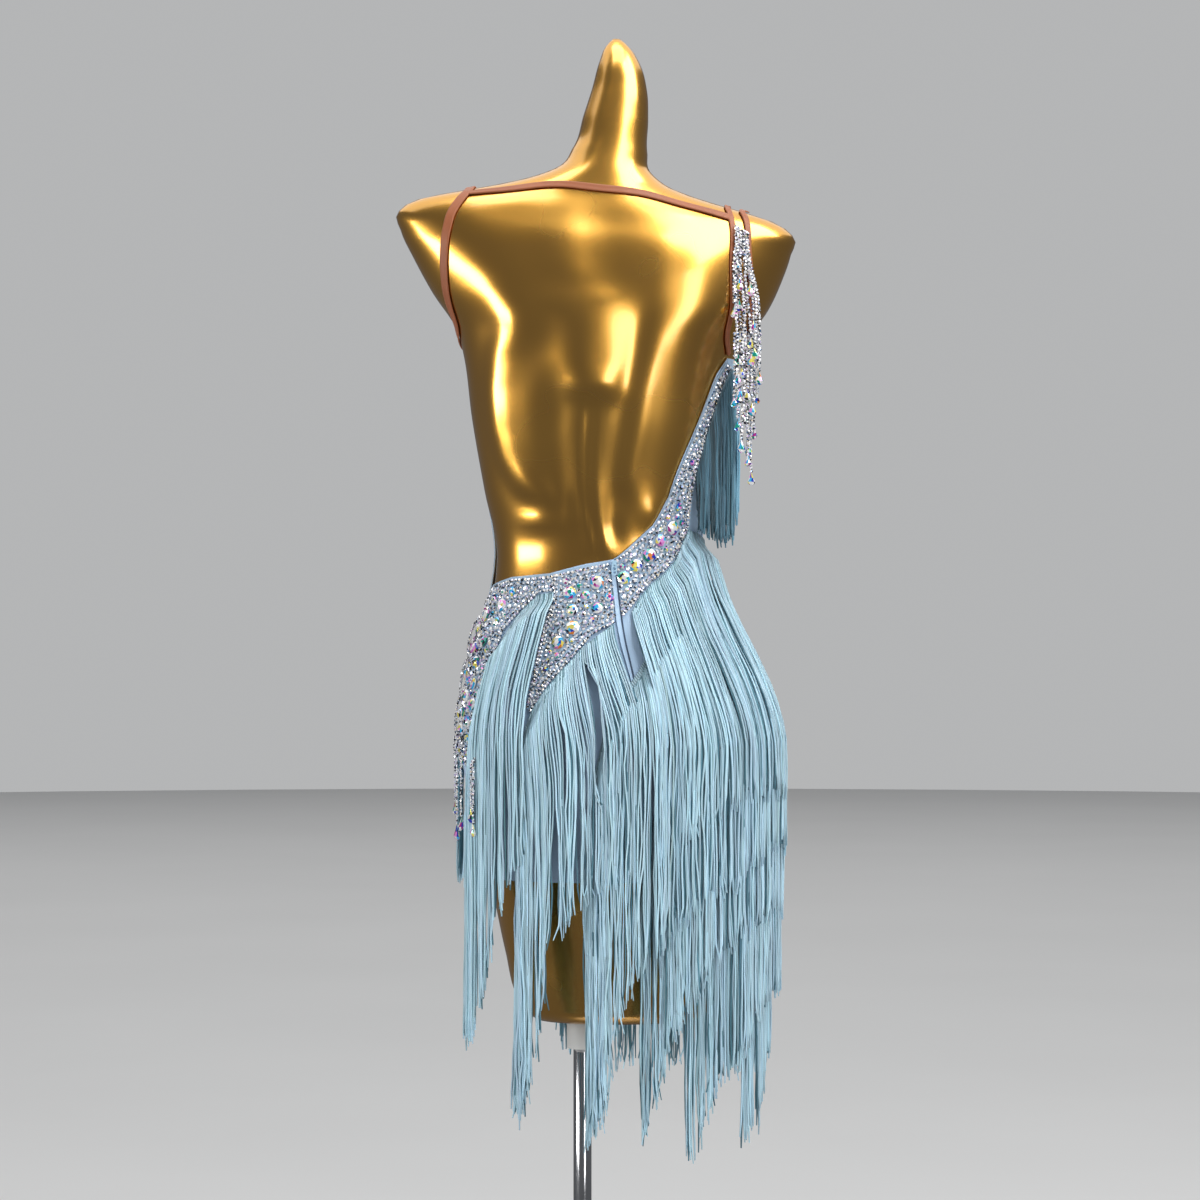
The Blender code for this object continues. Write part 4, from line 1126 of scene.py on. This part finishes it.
def tube_arrays(paths, radius, outward, sides=STRAND_SIDES):
    """Round strands as one mesh: each path (strand, step, point) is carried by rings of a few points
    set across it, and closed at both ends. The map is turns round and metres along."""
    count, steps = paths.shape[:2]
    way = unit(np.gradient(paths, axis=1))
    aside = unit(np.cross(way, outward))
    out = np.cross(aside, way)
    turn = np.arange(sides) * 2 * math.pi / sides + math.pi / 4
    rings = paths[:, :, None] + radius[:, :, None, None] * (
        aside[:, :, None] * np.cos(turn)[:, None] + out[:, :, None] * np.sin(turn)[:, None])
    strand, step, side = np.meshgrid(np.arange(count), np.arange(steps - 1), np.arange(sides), indexing="ij")
    base = (strand * steps + step) * sides
    after = (side + 1) % sides
    walls = np.stack([base + side, base + after, base + sides + after, base + sides + side], axis=-1)
    first = (np.arange(count) * steps * sides)[:, None] + np.arange(sides)
    last = first + (steps - 1) * sides
    run = np.cumsum(np.linalg.norm(np.diff(paths, axis=1), axis=-1), axis=1)
    length = np.concatenate([np.zeros((count, 1)), run], axis=1)
    low, high = length[strand, step], length[strand, step + 1]
    here, there = side / sides, (side + 1) / sides
    corners = ((here, low), (there, low), (there, high), (here, high))
    wall_uv = np.stack([np.stack(corner, axis=-1) for corner in corners], axis=-2)
    cap_uv = np.zeros((2 * count, sides, 2))
    return (rings.reshape(-1, 3), [walls.reshape(-1, 4), np.concatenate([first[:, ::-1], last])],
            [wall_uv.reshape(-1, 4, 2), cap_uv])


def parted(turn, root, fall, partings):
    """Strands pushed aside where the row parts: a strand's distance from the parting's middle and the
    parting's half width are the two legs of a right angle, and its new distance is the long side."""
    for high_at, low_at, high, low, half in partings:
        down = (high - (root[:, None] - fall) / MM) / (high - low)
        middle = high_at + (low_at - high_at) * np.clip(down, 0, 1)
        opening = half * ease(down / 0.3) * ease((1 - down) / 0.3)
        side = np.where(((turn - middle) * opening).sum(axis=1, keepdims=True) < 0, -1, 1)
        pushed = middle + side * np.sqrt(np.maximum(side * (turn - middle), 0) ** 2 + opening**2)
        turn = np.where(opening > 0, pushed, turn)
    return turn


def strand_paths(angle, root, tip, seat, reach, leans, rng, free, partings):
    """Paths of falling strands. Each runs down the skin at its own angle, out from the tape to the
    row's distance, and below the hips' widest level it falls plumb, or from its root if the row hangs
    free; it leans, gathers towards its lock's middle and waves a little, all more towards the tip."""
    count = len(angle)
    length = root - tip
    even = np.linspace(0, 1, STRAND_STEPS + 1)[1:] ** 0.95
    fall = np.concatenate([np.repeat(STRAND_DROPS[None], count, axis=0),
                           STRAND_DROPS[-1] + (length - STRAND_DROPS[-1])[:, None] * even], axis=1)
    share = fall / length[:, None]
    lock = locks_of(count, rng)
    middles = np.array([angle[lock == number].mean() if (lock == number).any() else 0.0
                        for number in range(lock.max() + 1)])
    # Each lock's own gathering, sway and drift, each strand's own stray, and the loose ones' larger stray.
    lock_random = rng.normal(0, 1, (lock.max() + 1, 4))
    stray = rng.normal(0, 1, (count, 6))
    loose = np.where(rng.uniform(0, 1, (count, 1)) < LOOSE_SHARE, LOOSE_STRAY, 1.0)

    along = np.linspace(0, 1, count)[:, None]
    reach = (reach[0] + (reach[1] - reach[0]) * ease(along / 0.55)
             + (reach[2] - reach[1]) * ease(along / 0.45 - 1.2))
    gather = (GATHER + GATHER_SPREAD * lock_random[lock, 0])[:, None].clip(*GATHER_RANGE)
    gather = gather * ease((share - 0.10) / 0.6)
    lean = np.interp(np.arange(count), [0, count - 1], leans)[:, None]
    lean = lean * ease((fall - STRAND_LIFT) / LEAN_FALL)
    sway_mm = lock_random[lock, 1][:, None] * LOCK_SWAY * ease(share * 1.3) * share**0.8
    sway_mm = sway_mm + stray[:, :1] * loose * share**1.3
    for number, (size, wave) in enumerate(STRAND_WAVES):
        waves = wave * (1 + WAVE_SPREAD * stray[:, number + 1:number + 2])
        sway_mm = sway_mm + size * (0.6 + 0.4 * loose) * ease(fall / WAVE_FALL) * np.sin(
            2 * math.pi * fall / waves + rng.uniform(0, 2 * math.pi, (count, 1)))
    kink = rng.normal(0, TIP_KINK, (count, 1)) * ease((share - 0.93) / 0.07)
    turn = angle[:, None] + lean + (middles[lock] - angle)[:, None] * gather + (
        sway_mm + kink) / SWAY_MM_PER_DEGREE
    turn = parted(turn, root, fall, partings)

    layer = np.where(np.arange(count) % 2, OVER, UNDER)[:, None] + stray[:, 5:6] * LAYER_STRAY
    layer = layer + np.where(loose > 1, LOOSE_OUT, 0.0)
    depth = seat + ROOT_OUT + (reach + ROW_OUT - seat - ROOT_OUT) * ease(
        (fall - 0.5 * STRAND_LIFT) / STRAND_DROPS[-1])
    drift = lock_random[lock, 2][:, None] * LOCK_DRIFT * ease(fall / DRIFT_FALL)
    ripple = RIPPLE * np.sin(2 * math.pi * fall / WAVE_FALL + stray[:, 4:5] * 3)
    depth = depth + (layer + drift + ripple) * ease(fall / 0.025)
    level = root[:, None] - fall
    hang = root[:, None] * np.ones_like(level) if free else np.minimum(HANG_LEVEL, root)[:, None]
    points = off_form(turn, np.maximum(level, hang), depth * MM)
    points[..., 2] = np.where(level < hang, points[..., 2] - (hang - level), points[..., 2])
    return points, form_normal(turn, np.maximum(level, hang)), share, layer


def tape_arrays(places, seat):
    """The corded strip that the strands are sewn to: a thin wall with slanted rounded ribs."""
    table, angle, reach = tape_line(places, TAPE_SAMPLES)
    steps = np.linspace(0, reach[-1], round(reach[-1] / TAPE_STEP))
    angle = np.interp(steps, reach, angle)
    height = np.interp(angle, table[:, 0], table[:, 1]) * MM
    up = np.linspace(0, 1, TAPE_ROWS)
    angles = np.repeat(angle[:, None], TAPE_ROWS, axis=1)
    heights = height[:, None] + TAPE_HEIGHT * up
    ribs = np.sin(2 * math.pi * (steps[:, None] / TAPE_RIB + TAPE_SLANT * up))
    outer = off_form(angles, heights, (seat + TAPE_THICK + RIB_RISE * ribs) * MM)
    inner = off_form(angles, heights, seat * MM)
    points, faces = shell_arrays(outer, inner)
    # Painted shade: the outer side darker in the ribs' grooves and lighter on their crests, the inner side
    # darker.
    shade = np.concatenate([RIB_PAINTED_SHADE + RIB_PAINTED_CONTRAST * ribs.ravel(), np.full(ribs.size, 0.6)])
    return points, faces, shade


def strand_colours(angle, share, layer, bust, rng):
    """Colour at each point of each strand: its own random tone and hue, painted shade, darker and bluer, on
    the strands under the row, painted shade near the root and painted light at the tip. On the bust row the
    painted light also rises away from the row's free edge, which lies in the band's shadow."""
    count = len(angle)
    over = layer > 0.1
    # Random tone a strand, times painted light on the over strands and painted shade on the under ones.
    light = rng.uniform(*STRAND_LIGHT, (count, 1)) * np.where(over, OVER_PAINTED_LIGHT, UNDER_PAINTED_SHADE)
    # Painted shade: a little darker near the root.
    light = light * (0.9 + 0.1 * ease(share * 6))
    light = light * (1 + 0.08 * np.sin(share * 9 + rng.uniform(0, 6.3, (count, 1))))
    # Painted shade hue: the under strands bluer.
    hue = (rng.normal(0, 0.02, (count, 1, 3)) + 1) * np.where(over, 0.0, 1.0)[:, :, None] * UNDER_PAINTED_SHADE_HUE
    hue = hue + 1 + rng.normal(0, 0.015, (count, 1, 3))
    # Painted light: lighter at the tip.
    light = light * (1 + TIP_PAINTED_LIGHT * ease((share - 0.93) / 0.05))
    # Painted light on the bust row, rising away from the band's shadow.
    if bust:
        away = BUST_PAINTED_LIGHT + BUST_PAINTED_RISE * ease((angle - BUST_EDGE) / BUST_REACH)
        light = light * (away + rng.uniform(-0.3, 0.36, count))[:, None]
    return light[:, :, None] * hue


def fringe_row(name, row, seed):
    """A row of fringe: its tape and all its strands as one mesh."""
    seat, reach, leans, places = row
    bust = name == FREE_ROW
    # Painted shade on the bust row; the other rows keep their colour.
    shade = np.array(BUST_PAINTED_SHADE if bust else WHITE)
    rng = np.random.default_rng(seed)
    angle, root, tip = along_tape(places, rng)
    bare = np.zeros(len(angle), bool)
    for low, high in BARE_TAPE.get(name, ()):
        bare |= (angle > low) & (angle < high)
    root = root + np.where(bare, BARE_LIFT, STRAND_LIFT)
    tip = tip + rng.normal(0, TIP_STRAY, len(tip)) + np.abs(rng.normal(0, TIP_SHORT, len(tip)))
    tip = tip + UNDER_SHORTER * (np.arange(len(tip)) % 2 == 0)
    paths, outward, share, layer = strand_paths(angle, root, tip, seat, reach, leans, rng, bust,
                                                PARTINGS.get(name, ()))
    thinner_tip = 1 - TIP_THINNING * ease((share - 0.97) / 0.03)
    radius = STRAND_RADIUS * rng.uniform(0.86, 1.08, (len(angle), 1)) * thinner_tip
    points, faces, uv = tube_arrays(paths, radius, outward)
    colours = strand_colours(angle, share, layer, bust, rng) * shade
    strand_tint_and_painted_light = np.repeat(colours[:, :, None], STRAND_SIDES, axis=2).reshape(-1, 3)
    tape_points, tape_faces, tape_painted_shade = tape_arrays(places, seat)
    tape_uv = np.stack([tape_points[:, 0] * 30, tape_points[:, 2]], axis=-1)[tape_faces]
    return make_piece("strands" + name.removeprefix("fringe"), np.concatenate([points, tape_points]),
                      [*faces, tape_faces + len(points)], fringe_thread.material, (name,),
                      uv=[*uv, tape_uv], tint_and_painted_light=np.concatenate([strand_tint_and_painted_light, tape_painted_shade[:, None] * shade]))


for number, (name, row) in enumerate(FRINGE_ROWS.items()):
    fringe_row(name, row, 40 + number)

# ---------------------------------------------------------------- straps

# The elastic's underside and top off the skin in mm, and the step along it.
STRAP_SEAT, STRAP_STEP = (1.2, 2.4), 5 * MM
# Places across the elastic as shares of its half width, and the top's rise there in mm.
STRAP_ACROSS = np.array([-1, -0.9, -0.62, -0.3, 0, 0.3, 0.62, 0.9, 1])
STRAP_CROWN = np.array([-0.75, 0.05, 0.28, -0.08, 0.0, -0.08, 0.28, 0.05, -0.75]) * 0.75
STRAP_SMOOTHING = np.array([1, 2, 3, 2, 1]) / 9
STRAPS = {
    # name: (width in mm, places)
    "strap_neck": (7.6, (
        (38.0, 1401.0), (49.5, 1406), (67, 1415), (92.5, 1414), (114, 1411), (123.5, 1402),
        (135.5, 1391.5))),
    "strap_left": (9.6, (
        (317.5, 1292.5), (311, 1320), (309, 1350), (307, 1380), (320, 1402), (0, 1410), (37, 1402),
        (46, 1380), (42.5, 1358), (36, 1332), (27.5, 1304), (17.5, 1280), (10, 1264), (355, 1253),
        (340, 1246), (330.5, 1242))),
    "strap_right": (6.0, (
        (157.4, 1248.5), (148, 1268), (140.5, 1294), (132.5, 1346), (131, 1378), (137, 1395),
        (147, 1402), (180, 1407), (211, 1402), (228, 1380), (228, 1350), (226, 1320), (222.5, 1303))),
    "strap_right_arm": (6.4, (
        (180, 1402.6), (150, 1399), (144, 1394), (137.5, 1380), (139, 1360), (143, 1335), (152, 1300),
        (168, 1279), (180, 1268), (188, 1264))),
}


def skin_sample():
    """A dense sample of the skin and its normals, for laying straps and chains on it."""
    angle, height = np.meshgrid(np.arange(0, 360, 1.0), np.arange(1090 * MM, 1440 * MM, 2 * MM))
    return form_point(angle, height).reshape(-1, 3), form_normal(angle, height).reshape(-1, 3)


SKIN = skin_sample()


def laid_on(places, clearance):
    """Places moved onto the skin's tangent plane beside them, then off it, with the normals there."""
    points, normals = SKIN
    near = np.array([int(np.argmin(((points - place) ** 2).sum(-1))) for place in places])
    ups = normals[near]
    drop = ((places - points[near]) * ups).sum(axis=1, keepdims=True)
    return places - ups * drop + ups * np.asarray(clearance).reshape(-1, 1), ups


def make_strap(name, width, places):
    """Flat elastic along a cubic curve over the skin, smoothed by a running mean: a section with
    rounded edges and a low ridge beside each, carried along the curve."""
    table = np.array(places, float)
    knots = form_point(table[:, 0], table[:, 1] * MM)
    reach = reach_along(knots)
    wanted = np.linspace(0, reach[-1], max(8, round(reach[-1] / STRAP_STEP)) + 1)
    route = np.stack([smooth_column(reach, column, wanted) for column in knots.T], axis=-1)
    middle, normals = laid_on(route, np.zeros(len(route)))
    padded = np.concatenate([middle[:1]] * 2 + [middle] + [middle[-1:]] * 2)
    middle = np.stack([np.convolve(padded[:, k], STRAP_SMOOTHING, mode="valid") for k in range(3)], axis=-1)
    aside = unit(np.cross(np.gradient(middle, axis=0), normals)) * width * MM / 2
    low, high = STRAP_SEAT
    outer = [laid_on(middle + aside * way, (high + lift) * MM)[0]
             for way, lift in zip(STRAP_ACROSS, STRAP_CROWN)]
    inner = [laid_on(middle + aside * way, low * MM)[0] for way in STRAP_ACROSS]
    points, faces = shell_arrays(np.stack(outer, axis=1), np.stack(inner, axis=1))
    flat = np.stack(np.broadcast_arrays(STRAP_ACROSS[None, :] / 2 + 0.5, wanted[:, None]), axis=-1)
    flat = flat.reshape(-1, 2)
    make_piece("elastic" + name.removeprefix("strap"), points, [faces], elastic_tan.material,
               (name,), uv=np.concatenate([flat, flat]), sharp=70)


for name, (width, places) in STRAPS.items():
    make_strap(name, width, places)

# ---------------------------------------------------------------- crystal chains

CHAIN_TOP = 1372
SHOULDER_CHAINS = (
    # x at the top and lower down, top and end height, distance off the skin, all in mm
    (-158.5, -155, 1374, 1290, 5.6),
    (-160, -158, 1372, 1240, 7.6),
    (-161.5, -161.5, 1371, 1262, 5.4),
    (-163, -165, 1370, 1226, 8),
    (-164.5, -168.5, 1369, 1204, 5.6),
    (-166, -172, 1369, 1256, 7.8),
    (-167.5, -175.5, 1368, 1190, 5.6),
    (-169, -179, 1367, 1246, 7.6),
    (-170.5, -182.5, 1366, 1222, 5.8),
    (-156.5, -155, 1262, 1196, 6.2),
    (-159.5, -158.5, 1266, 1172, 8.2),
    (-162.5, -162, 1264, 1206, 6),
    (-165.5, -164.5, 1262, 1150, 8),
    (-168.5, -167, 1268, 1180, 6),
    (-171.5, -169, 1264, 1134, 8),
    (-174.5, -172, 1266, 1146, 6),
    (-177.5, -174.5, 1262, 1116, 7.6),
    (-180.5, -177, 1266, 1164, 6),
    (-183, -180.5, 1266, 1200, 7.4),
)
HIP_CHAINS = (
    # angle, top and end height in mm, distance off the skin
    (15, 850, 776, 14.0),
    (21, 846, 752, 17.5),
    (25.5, 840, 762, 18.5),
    (36, 833, 772, 24.5),
    (37.3, 836, 757, 24.5),
)
# Step between set stones, their radii in mm, and the wire's radius and number of points.
CHAIN_PITCH, CHAIN_RADIUS, SWAG_RADIUS, WIRE_RADIUS, WIRE_STEPS = 3.7 * MM, 1.95, 1.8, 0.45 * MM, 24
# Upper strands follow the shoulder from their own top; lower ones hang straight from what is above them.
UPPER_FROM = 1300
LEVEL_STEP = 2 * MM
BACKWARD = np.array([0.0, 1.0, 0.0])
SHOULDER_DROP, HIP_DROP, LOOSE_DROP = (3.4, 4.6), (4.2, 5.2), (3.2, 4.4)
DROP_HANG = 1.5
CHAIN_SWAY, SWAY_GROWTH, SPREAD_GROWTH, HIP_GROWTH = 1.4 * MM, 0.05, 0.10, 0.012
HIP_SEAT = 7.0
# Swags on the hip: top height in mm and middle angle. Each falls by so many mm, bows and is set back by so
# many degrees, and stands off the skin by a seat and a lift in mm.
SWAGS = ((970, 4), (930, 0), (890, -1), (852, -1))
SWAG_FALL, SWAG_BOW, SWAG_OFFSET, SWAG_SEAT, SWAG_LIFT = 44, 15, 13, 8.2, 3.0


def back_faces(x, levels):
    """How far the skin reaches to the back at an x and each level, never drawing in on the way down."""
    points = SKIN[0]
    strip = points[(np.abs(points[:, 0] - x) < 3.5 * MM) & (points[:, 1] > 0)]
    found, depth = [], 0.0
    for level in levels:
        near = strip[np.abs(strip[:, 2] - level) < 3 * MM]
        depth = max(depth, near[:, 1].max() if len(near) else 0.0)
        found.append(depth)
    return np.array(found)


def chain_stones(path, outward, rng, radius=CHAIN_RADIUS):
    """Set stones at even steps along a path, each turned a little."""
    reach = reach_along(path)
    steps = np.arange(0, reach[-1] - 2 * MM, CHAIN_PITCH)
    normals = np.repeat(outward[None], len(steps), axis=0)
    centres = points_at(path, reach, steps) - normals * 0.6 * MM
    return lay_stones(SMALL_CUT, centres, normals, np.full(len(centres), radius * MM), CLEAR_PAINTED_GLINTS, rng, tilt=0.38)


def end_drop(place, outward, size, rng):
    """A flat pear-shaped drop, point up."""
    return lay_stones(DROP_CUT, place[None], outward[None], np.array([size * MM]), AURORA_AND_PAINTED_GLINTS, rng, tilt=0.12,
                      squash=0.55, upright=True)


def hanging_chain(path, outward, sizes, rng):
    """A strand of set stones along a path and the drop at its end."""
    stones = chain_stones(path, outward, rng)
    size = rng.uniform(*sizes)
    return [stones, end_drop(path[-1] - np.array([0, 0, size * DROP_HANG * MM]), outward, size, rng)]


def make_wires(name, wires):
    """The fine linked wire behind each strand of set stones."""
    paths = []
    for path in wires:
        reach = reach_along(path)
        paths.append(points_at(path, reach, np.linspace(0, reach[-1], WIRE_STEPS)))
    paths = np.array(paths)
    outward = np.zeros(paths.shape) + BACKWARD
    points, faces, uv = tube_arrays(paths, np.full(paths.shape[:2], WIRE_RADIUS), outward)
    make_piece(name, points, faces, chain_silver.material, uv=uv)


def make_shoulder_chains():
    """Strands of set stones that fall plumb down the shoulder's back, swaying a little, each with a
    drop, and loose drops on some of them."""
    rng = np.random.default_rng(77)
    parts, wires = [], []
    for x, low_x, top, end, off in SHOULDER_CHAINS:
        levels = np.arange(top * MM, end * MM, -LEVEL_STEP)
        if top > UPPER_FROM:
            depth = back_faces(x * MM, levels)
        else:
            depth = back_faces(x * MM, np.arange(CHAIN_TOP * MM, top * MM, -2 * LEVEL_STEP))[-1]
        fall = levels[0] - levels
        sway = CHAIN_SWAY * np.sin((levels - levels[0]) * rng.uniform(30, 60) + rng.uniform(0, 6)) * ease(
            fall / SWAY_GROWTH)
        across = (x + (low_x - x) * ease(fall / SPREAD_GROWTH)) * MM
        path = np.stack(np.broadcast_arrays(across + sway, depth + off * MM, levels), axis=-1)
        parts += hanging_chain(path, BACKWARD, SHOULDER_DROP, rng)
        wires.append(path)
    for spot in (0.35, 0.55, 0.75):
        for path in wires[2:14:4]:
            place = path[int(spot * len(path))] + np.array([rng.normal(0, 1.5 * MM), 2.0 * MM, 0])
            parts.append(end_drop(place, BACKWARD, rng.uniform(*LOOSE_DROP), rng))
    stone_piece("chain_shoulder_stones", parts, ("chains_shoulder",))
    return wires


def make_hip_chains():
    """Short strands under the hip yoke, and swags of set stones that follow the yoke's side down in
    scallops."""
    rng = np.random.default_rng(78)
    parts, wires = [], []
    for angle, top, end, far in HIP_CHAINS:
        levels = np.arange(top * MM, end * MM, -LEVEL_STEP)
        off = HIP_SEAT + (far - HIP_SEAT) * ease((top * MM - levels) / HIP_GROWTH)
        path = off_form(np.full(len(levels), float(angle)), np.maximum(levels, HANG_LEVEL), off * MM)
        path[:, 2] = levels
        parts += hanging_chain(path, form_normal(float(angle), HANG_LEVEL), HIP_DROP, rng)
        wires.append(path)
    share = np.linspace(0, 1, 40)
    bow = np.sin(share * math.pi)
    for start, middle in SWAGS:
        for lift in (0.0, 3.5):
            angle = middle + SWAG_OFFSET - lift - SWAG_BOW * bow**0.8
            height = (start - SWAG_FALL * share) * MM
            path = off_form(angle, height, (SWAG_SEAT + SWAG_LIFT * bow) * MM)
            outward = form_normal(float(angle.mean()), float(height.mean()))
            parts.append(chain_stones(path, outward, rng, SWAG_RADIUS))
    stone_piece("chain_hip_stones", parts, ("chains_hip",))
    return wires


shoulder_wires = make_shoulder_chains()
hip_wires = make_hip_chains()
make_wires("chain_shoulder_wire", shoulder_wires)
make_wires("chain_hip_wire", hip_wires)

# ---------------------------------------------------------------- zip

SLIDER_AT = 1025 * MM


def zip_frame():
    """Middle of the zip's top on the skin, with its outward, sideways and upward directions."""
    place = form_point(ZIP_ANGLE, SLIDER_AT)
    outward = form_normal(ZIP_ANGLE, SLIDER_AT)
    outward = unit(np.array([0.0, outward[1], outward[2]]))
    aside = np.array([1.0, 0.0, 0.0])
    return place, outward, aside, np.cross(aside, outward)


def flat_plate(name, outlines, thick, bevel, rise, depth, stands_for, body):
    """A plate cut from flat outlines, the first its edge and the rest its holes, with small bevelled
    rims, set off the zip's seam at a depth and a rise."""
    curve = bpy.data.curves.new(name, "CURVE")
    curve.dimensions, curve.fill_mode = "2D", "BOTH"
    curve.extrude, curve.bevel_depth, curve.bevel_resolution = thick / 2 - bevel, bevel, 2
    for outline in outlines:
        count = len(outline)
        spline = curve.splines.new("POLY")
        spline.points.add(count - 1)
        spline.points.foreach_set("co", np.c_[np.array(outline), np.zeros(count), np.ones(count)].ravel())
        spline.use_cyclic_u = True
    source = bpy.data.objects.new(name + "_outline", curve)
    bpy.context.scene.collection.objects.link(source)
    bpy.context.view_layer.update()
    mesh = bpy.data.meshes.new_from_object(source.evaluated_get(bpy.context.evaluated_depsgraph_get()))
    bpy.data.objects.remove(source)
    place, outward, aside, upward = zip_frame()
    points = np.empty(len(mesh.vertices) * 3, np.float32)
    mesh.vertices.foreach_get("co", points)
    points = points.reshape(-1, 3).astype(float)
    middle = place + outward * depth + upward * rise
    points = middle - aside * points[:, :1] + upward * points[:, 1:2] + outward * points[:, 2:]
    mesh.vertices.foreach_set("co", points.astype(np.float32).ravel())
    mesh.name = name
    mesh.materials.clear()
    mesh.materials.append(zip_paint.material)
    mesh.update()
    shape = bmesh.new()
    shape.from_mesh(mesh)
    bmesh.ops.remove_doubles(shape, verts=shape.verts, dist=1e-6)
    bmesh.ops.recalc_face_normals(shape, faces=shape.faces)
    shape.to_mesh(mesh)
    shape.free()
    return add_piece(name, mesh, stands_for, body)


def rounded(width, height, radius, middle=(0.0, 0.0), steps=6):
    """A rounded rectangle's outline, in metres from mm."""
    corners = []
    for number, (sx, sy) in enumerate(((1, 1), (-1, 1), (-1, -1), (1, -1))):
        for turn in np.linspace(0, math.pi / 2, steps):
            a = turn + number * math.pi / 2
            corners.append((middle[0] + sx * (width / 2 - radius) + radius * math.cos(a),
                            middle[1] + sy * (height / 2 - radius) + radius * math.sin(a)))
    return np.array(corners) * MM


TAB_OUTLINES = (
    rounded(5.4, 11.6, 1.6),
    rounded(2.9, 2.6, 0.8, (0, -3.1)),
    rounded(2.9, 3.0, 0.8, (0, 0.7)),
    rounded(2.0, 1.2, 0.55, (0, 4.2)),
)
TAB_RISE, TAB_DEPTH, SLIDER_DEPTH = -11.8 / 2 * MM + 0.4 * MM, 8.3 * MM, 6.2 * MM
flat_plate("zip_tab", TAB_OUTLINES, 0.95 * MM, 0.12 * MM, TAB_RISE, TAB_DEPTH, ("zip_pull",), "zip_pull")
flat_plate("zip_slider_body", (rounded(4.3, 7.9, 1.2),), 2.3 * MM, 0.3 * MM, 0.0, SLIDER_DEPTH,
           ("zip_slider",), "root")
cloth_wall("zip_line", (), ZIP_LINE, 6, ZIP_SEAT, zip_shadow, "stretch_cloth")

# ---------------------------------------------------------------- studio


FLOOR_RADIUS, FLOOR_SIDES = 14, 96
STUDIO_TINT, STUDIO_STRENGTH = (0.92, 0.95, 1.0, 1.0), 0.13
BACKDROP = (0.46, 0.465, 0.47, 1.0)


def stage_floor():
    """A plain pale floor, left out of reflections so that the gold keeps its dark lower sides."""
    turn = np.linspace(0, 2 * math.pi, FLOOR_SIDES, endpoint=False)
    rim = [(FLOOR_RADIUS * math.cos(a), FLOOR_RADIUS * math.sin(a), 0.0) for a in turn]
    mesh = bpy.data.meshes.new("floor")
    mesh.from_pydata(rim, [], [tuple(range(FLOOR_SIDES))])
    finish = Finish("floor_pale", (0.72, 0.72, 0.715), 0.7)
    finish.mottled((0.98, 0.98, 0.98), broad=1.2)
    mesh.materials.append(finish.material)
    floor = bpy.data.objects.new("floor", mesh)
    floor.visible_glossy = False
    bpy.context.scene.collection.objects.link(floor)
    return floor


def soft_light(name, place, aim, size, power, mirrored):
    """A rectangular soft light that faces a point, left out of reflections if it isn't mirrored."""
    data = bpy.data.lights.new(name, "AREA")
    data.shape, data.size, data.size_y = "RECTANGLE", size[0], size[1]
    data.energy = power
    lamp = bpy.data.objects.new(name, data)
    lamp.location = place
    lamp.rotation_euler = (Vector(aim) - Vector(place)).to_track_quat("-Z", "Y").to_euler()
    lamp.visible_glossy = mirrored
    bpy.context.scene.collection.objects.link(lamp)
    return lamp


def studio_world():
    """Pale to look at, dim as a light, so that the gold keeps its dark sides."""
    world = bpy.data.worlds.new("studio")
    world.use_nodes = True
    tree = world.node_tree
    back = tree.nodes["Background"]
    seen = tree.nodes.new("ShaderNodeBackground")
    path = tree.nodes.new("ShaderNodeLightPath")
    mix = tree.nodes.new("ShaderNodeMixShader")
    back.inputs["Color"].default_value = STUDIO_TINT
    back.inputs["Strength"].default_value = STUDIO_STRENGTH
    seen.inputs["Color"].default_value = BACKDROP
    tree.links.new(path.outputs["Is Camera Ray"], mix.inputs[0])
    tree.links.new(back.outputs[0], mix.inputs[1])
    tree.links.new(seen.outputs[0], mix.inputs[2])
    tree.links.new(mix.outputs[0], tree.nodes["World Output"].inputs["Surface"])
    bpy.context.scene.world = world


AIM = (-0.02, 0.0, 1.05)
CAMERA_AT = (-0.018375, 3.5, 0.9889)
HALF_FRAME = 0.63  # half of what the camera takes in across, at the stand's axis
LIGHTS = (
    # name, place, what it faces, size, power, seen in reflections
    ("key_high", (-1.75, 1.15, 3.55), AIM, (2.4, 1.8), 84, True),
    ("strip_right", (-1.45, 2.42, 1.62), AIM, (0.75, 2.1), 20, True),
    ("key_left", (2.36, 1.15, 1.02), AIM, (1.6, 0.6), 28, True),
    ("top", (0.0, 0.4, 3.2), AIM, (1.4, 1.0), 14, True),
    ("floor_wash", (0.0, -6.0, 7.0), (0.0, -6.0, 0.0), (16.0, 14.0), 640, True),
    ("floor_wash_front", (0.0, 8.5, 5.0), (0.0, 8.5, 0.0), (16.0, 9.0), 240, False),
)
floor = stage_floor()
studio_world()
lamps = {light[0]: soft_light(*light) for light in LIGHTS}
# The two low lights leave the floor out, so that they cast no hard edge across it.
past_floor = bpy.data.collections.new("past_floor")
past_floor.objects.link(floor)
past_floor.collection_objects[0].light_linking.link_state = "EXCLUDE"
for name in ("strip_right", "key_left"):
    lamps[name].light_linking.receiver_collection = past_floor

camera_data = bpy.data.cameras.new("camera")
camera_data.angle = 2 * math.atan(HALF_FRAME / CAMERA_AT[1])
camera = bpy.data.objects.new("camera", camera_data)
camera.location = CAMERA_AT
camera.rotation_euler = Euler((math.pi / 2, 0.0, math.pi))
bpy.context.scene.collection.objects.link(camera)
bpy.context.scene.camera = camera

bpy.context.scene.view_settings.view_transform = "Standard"
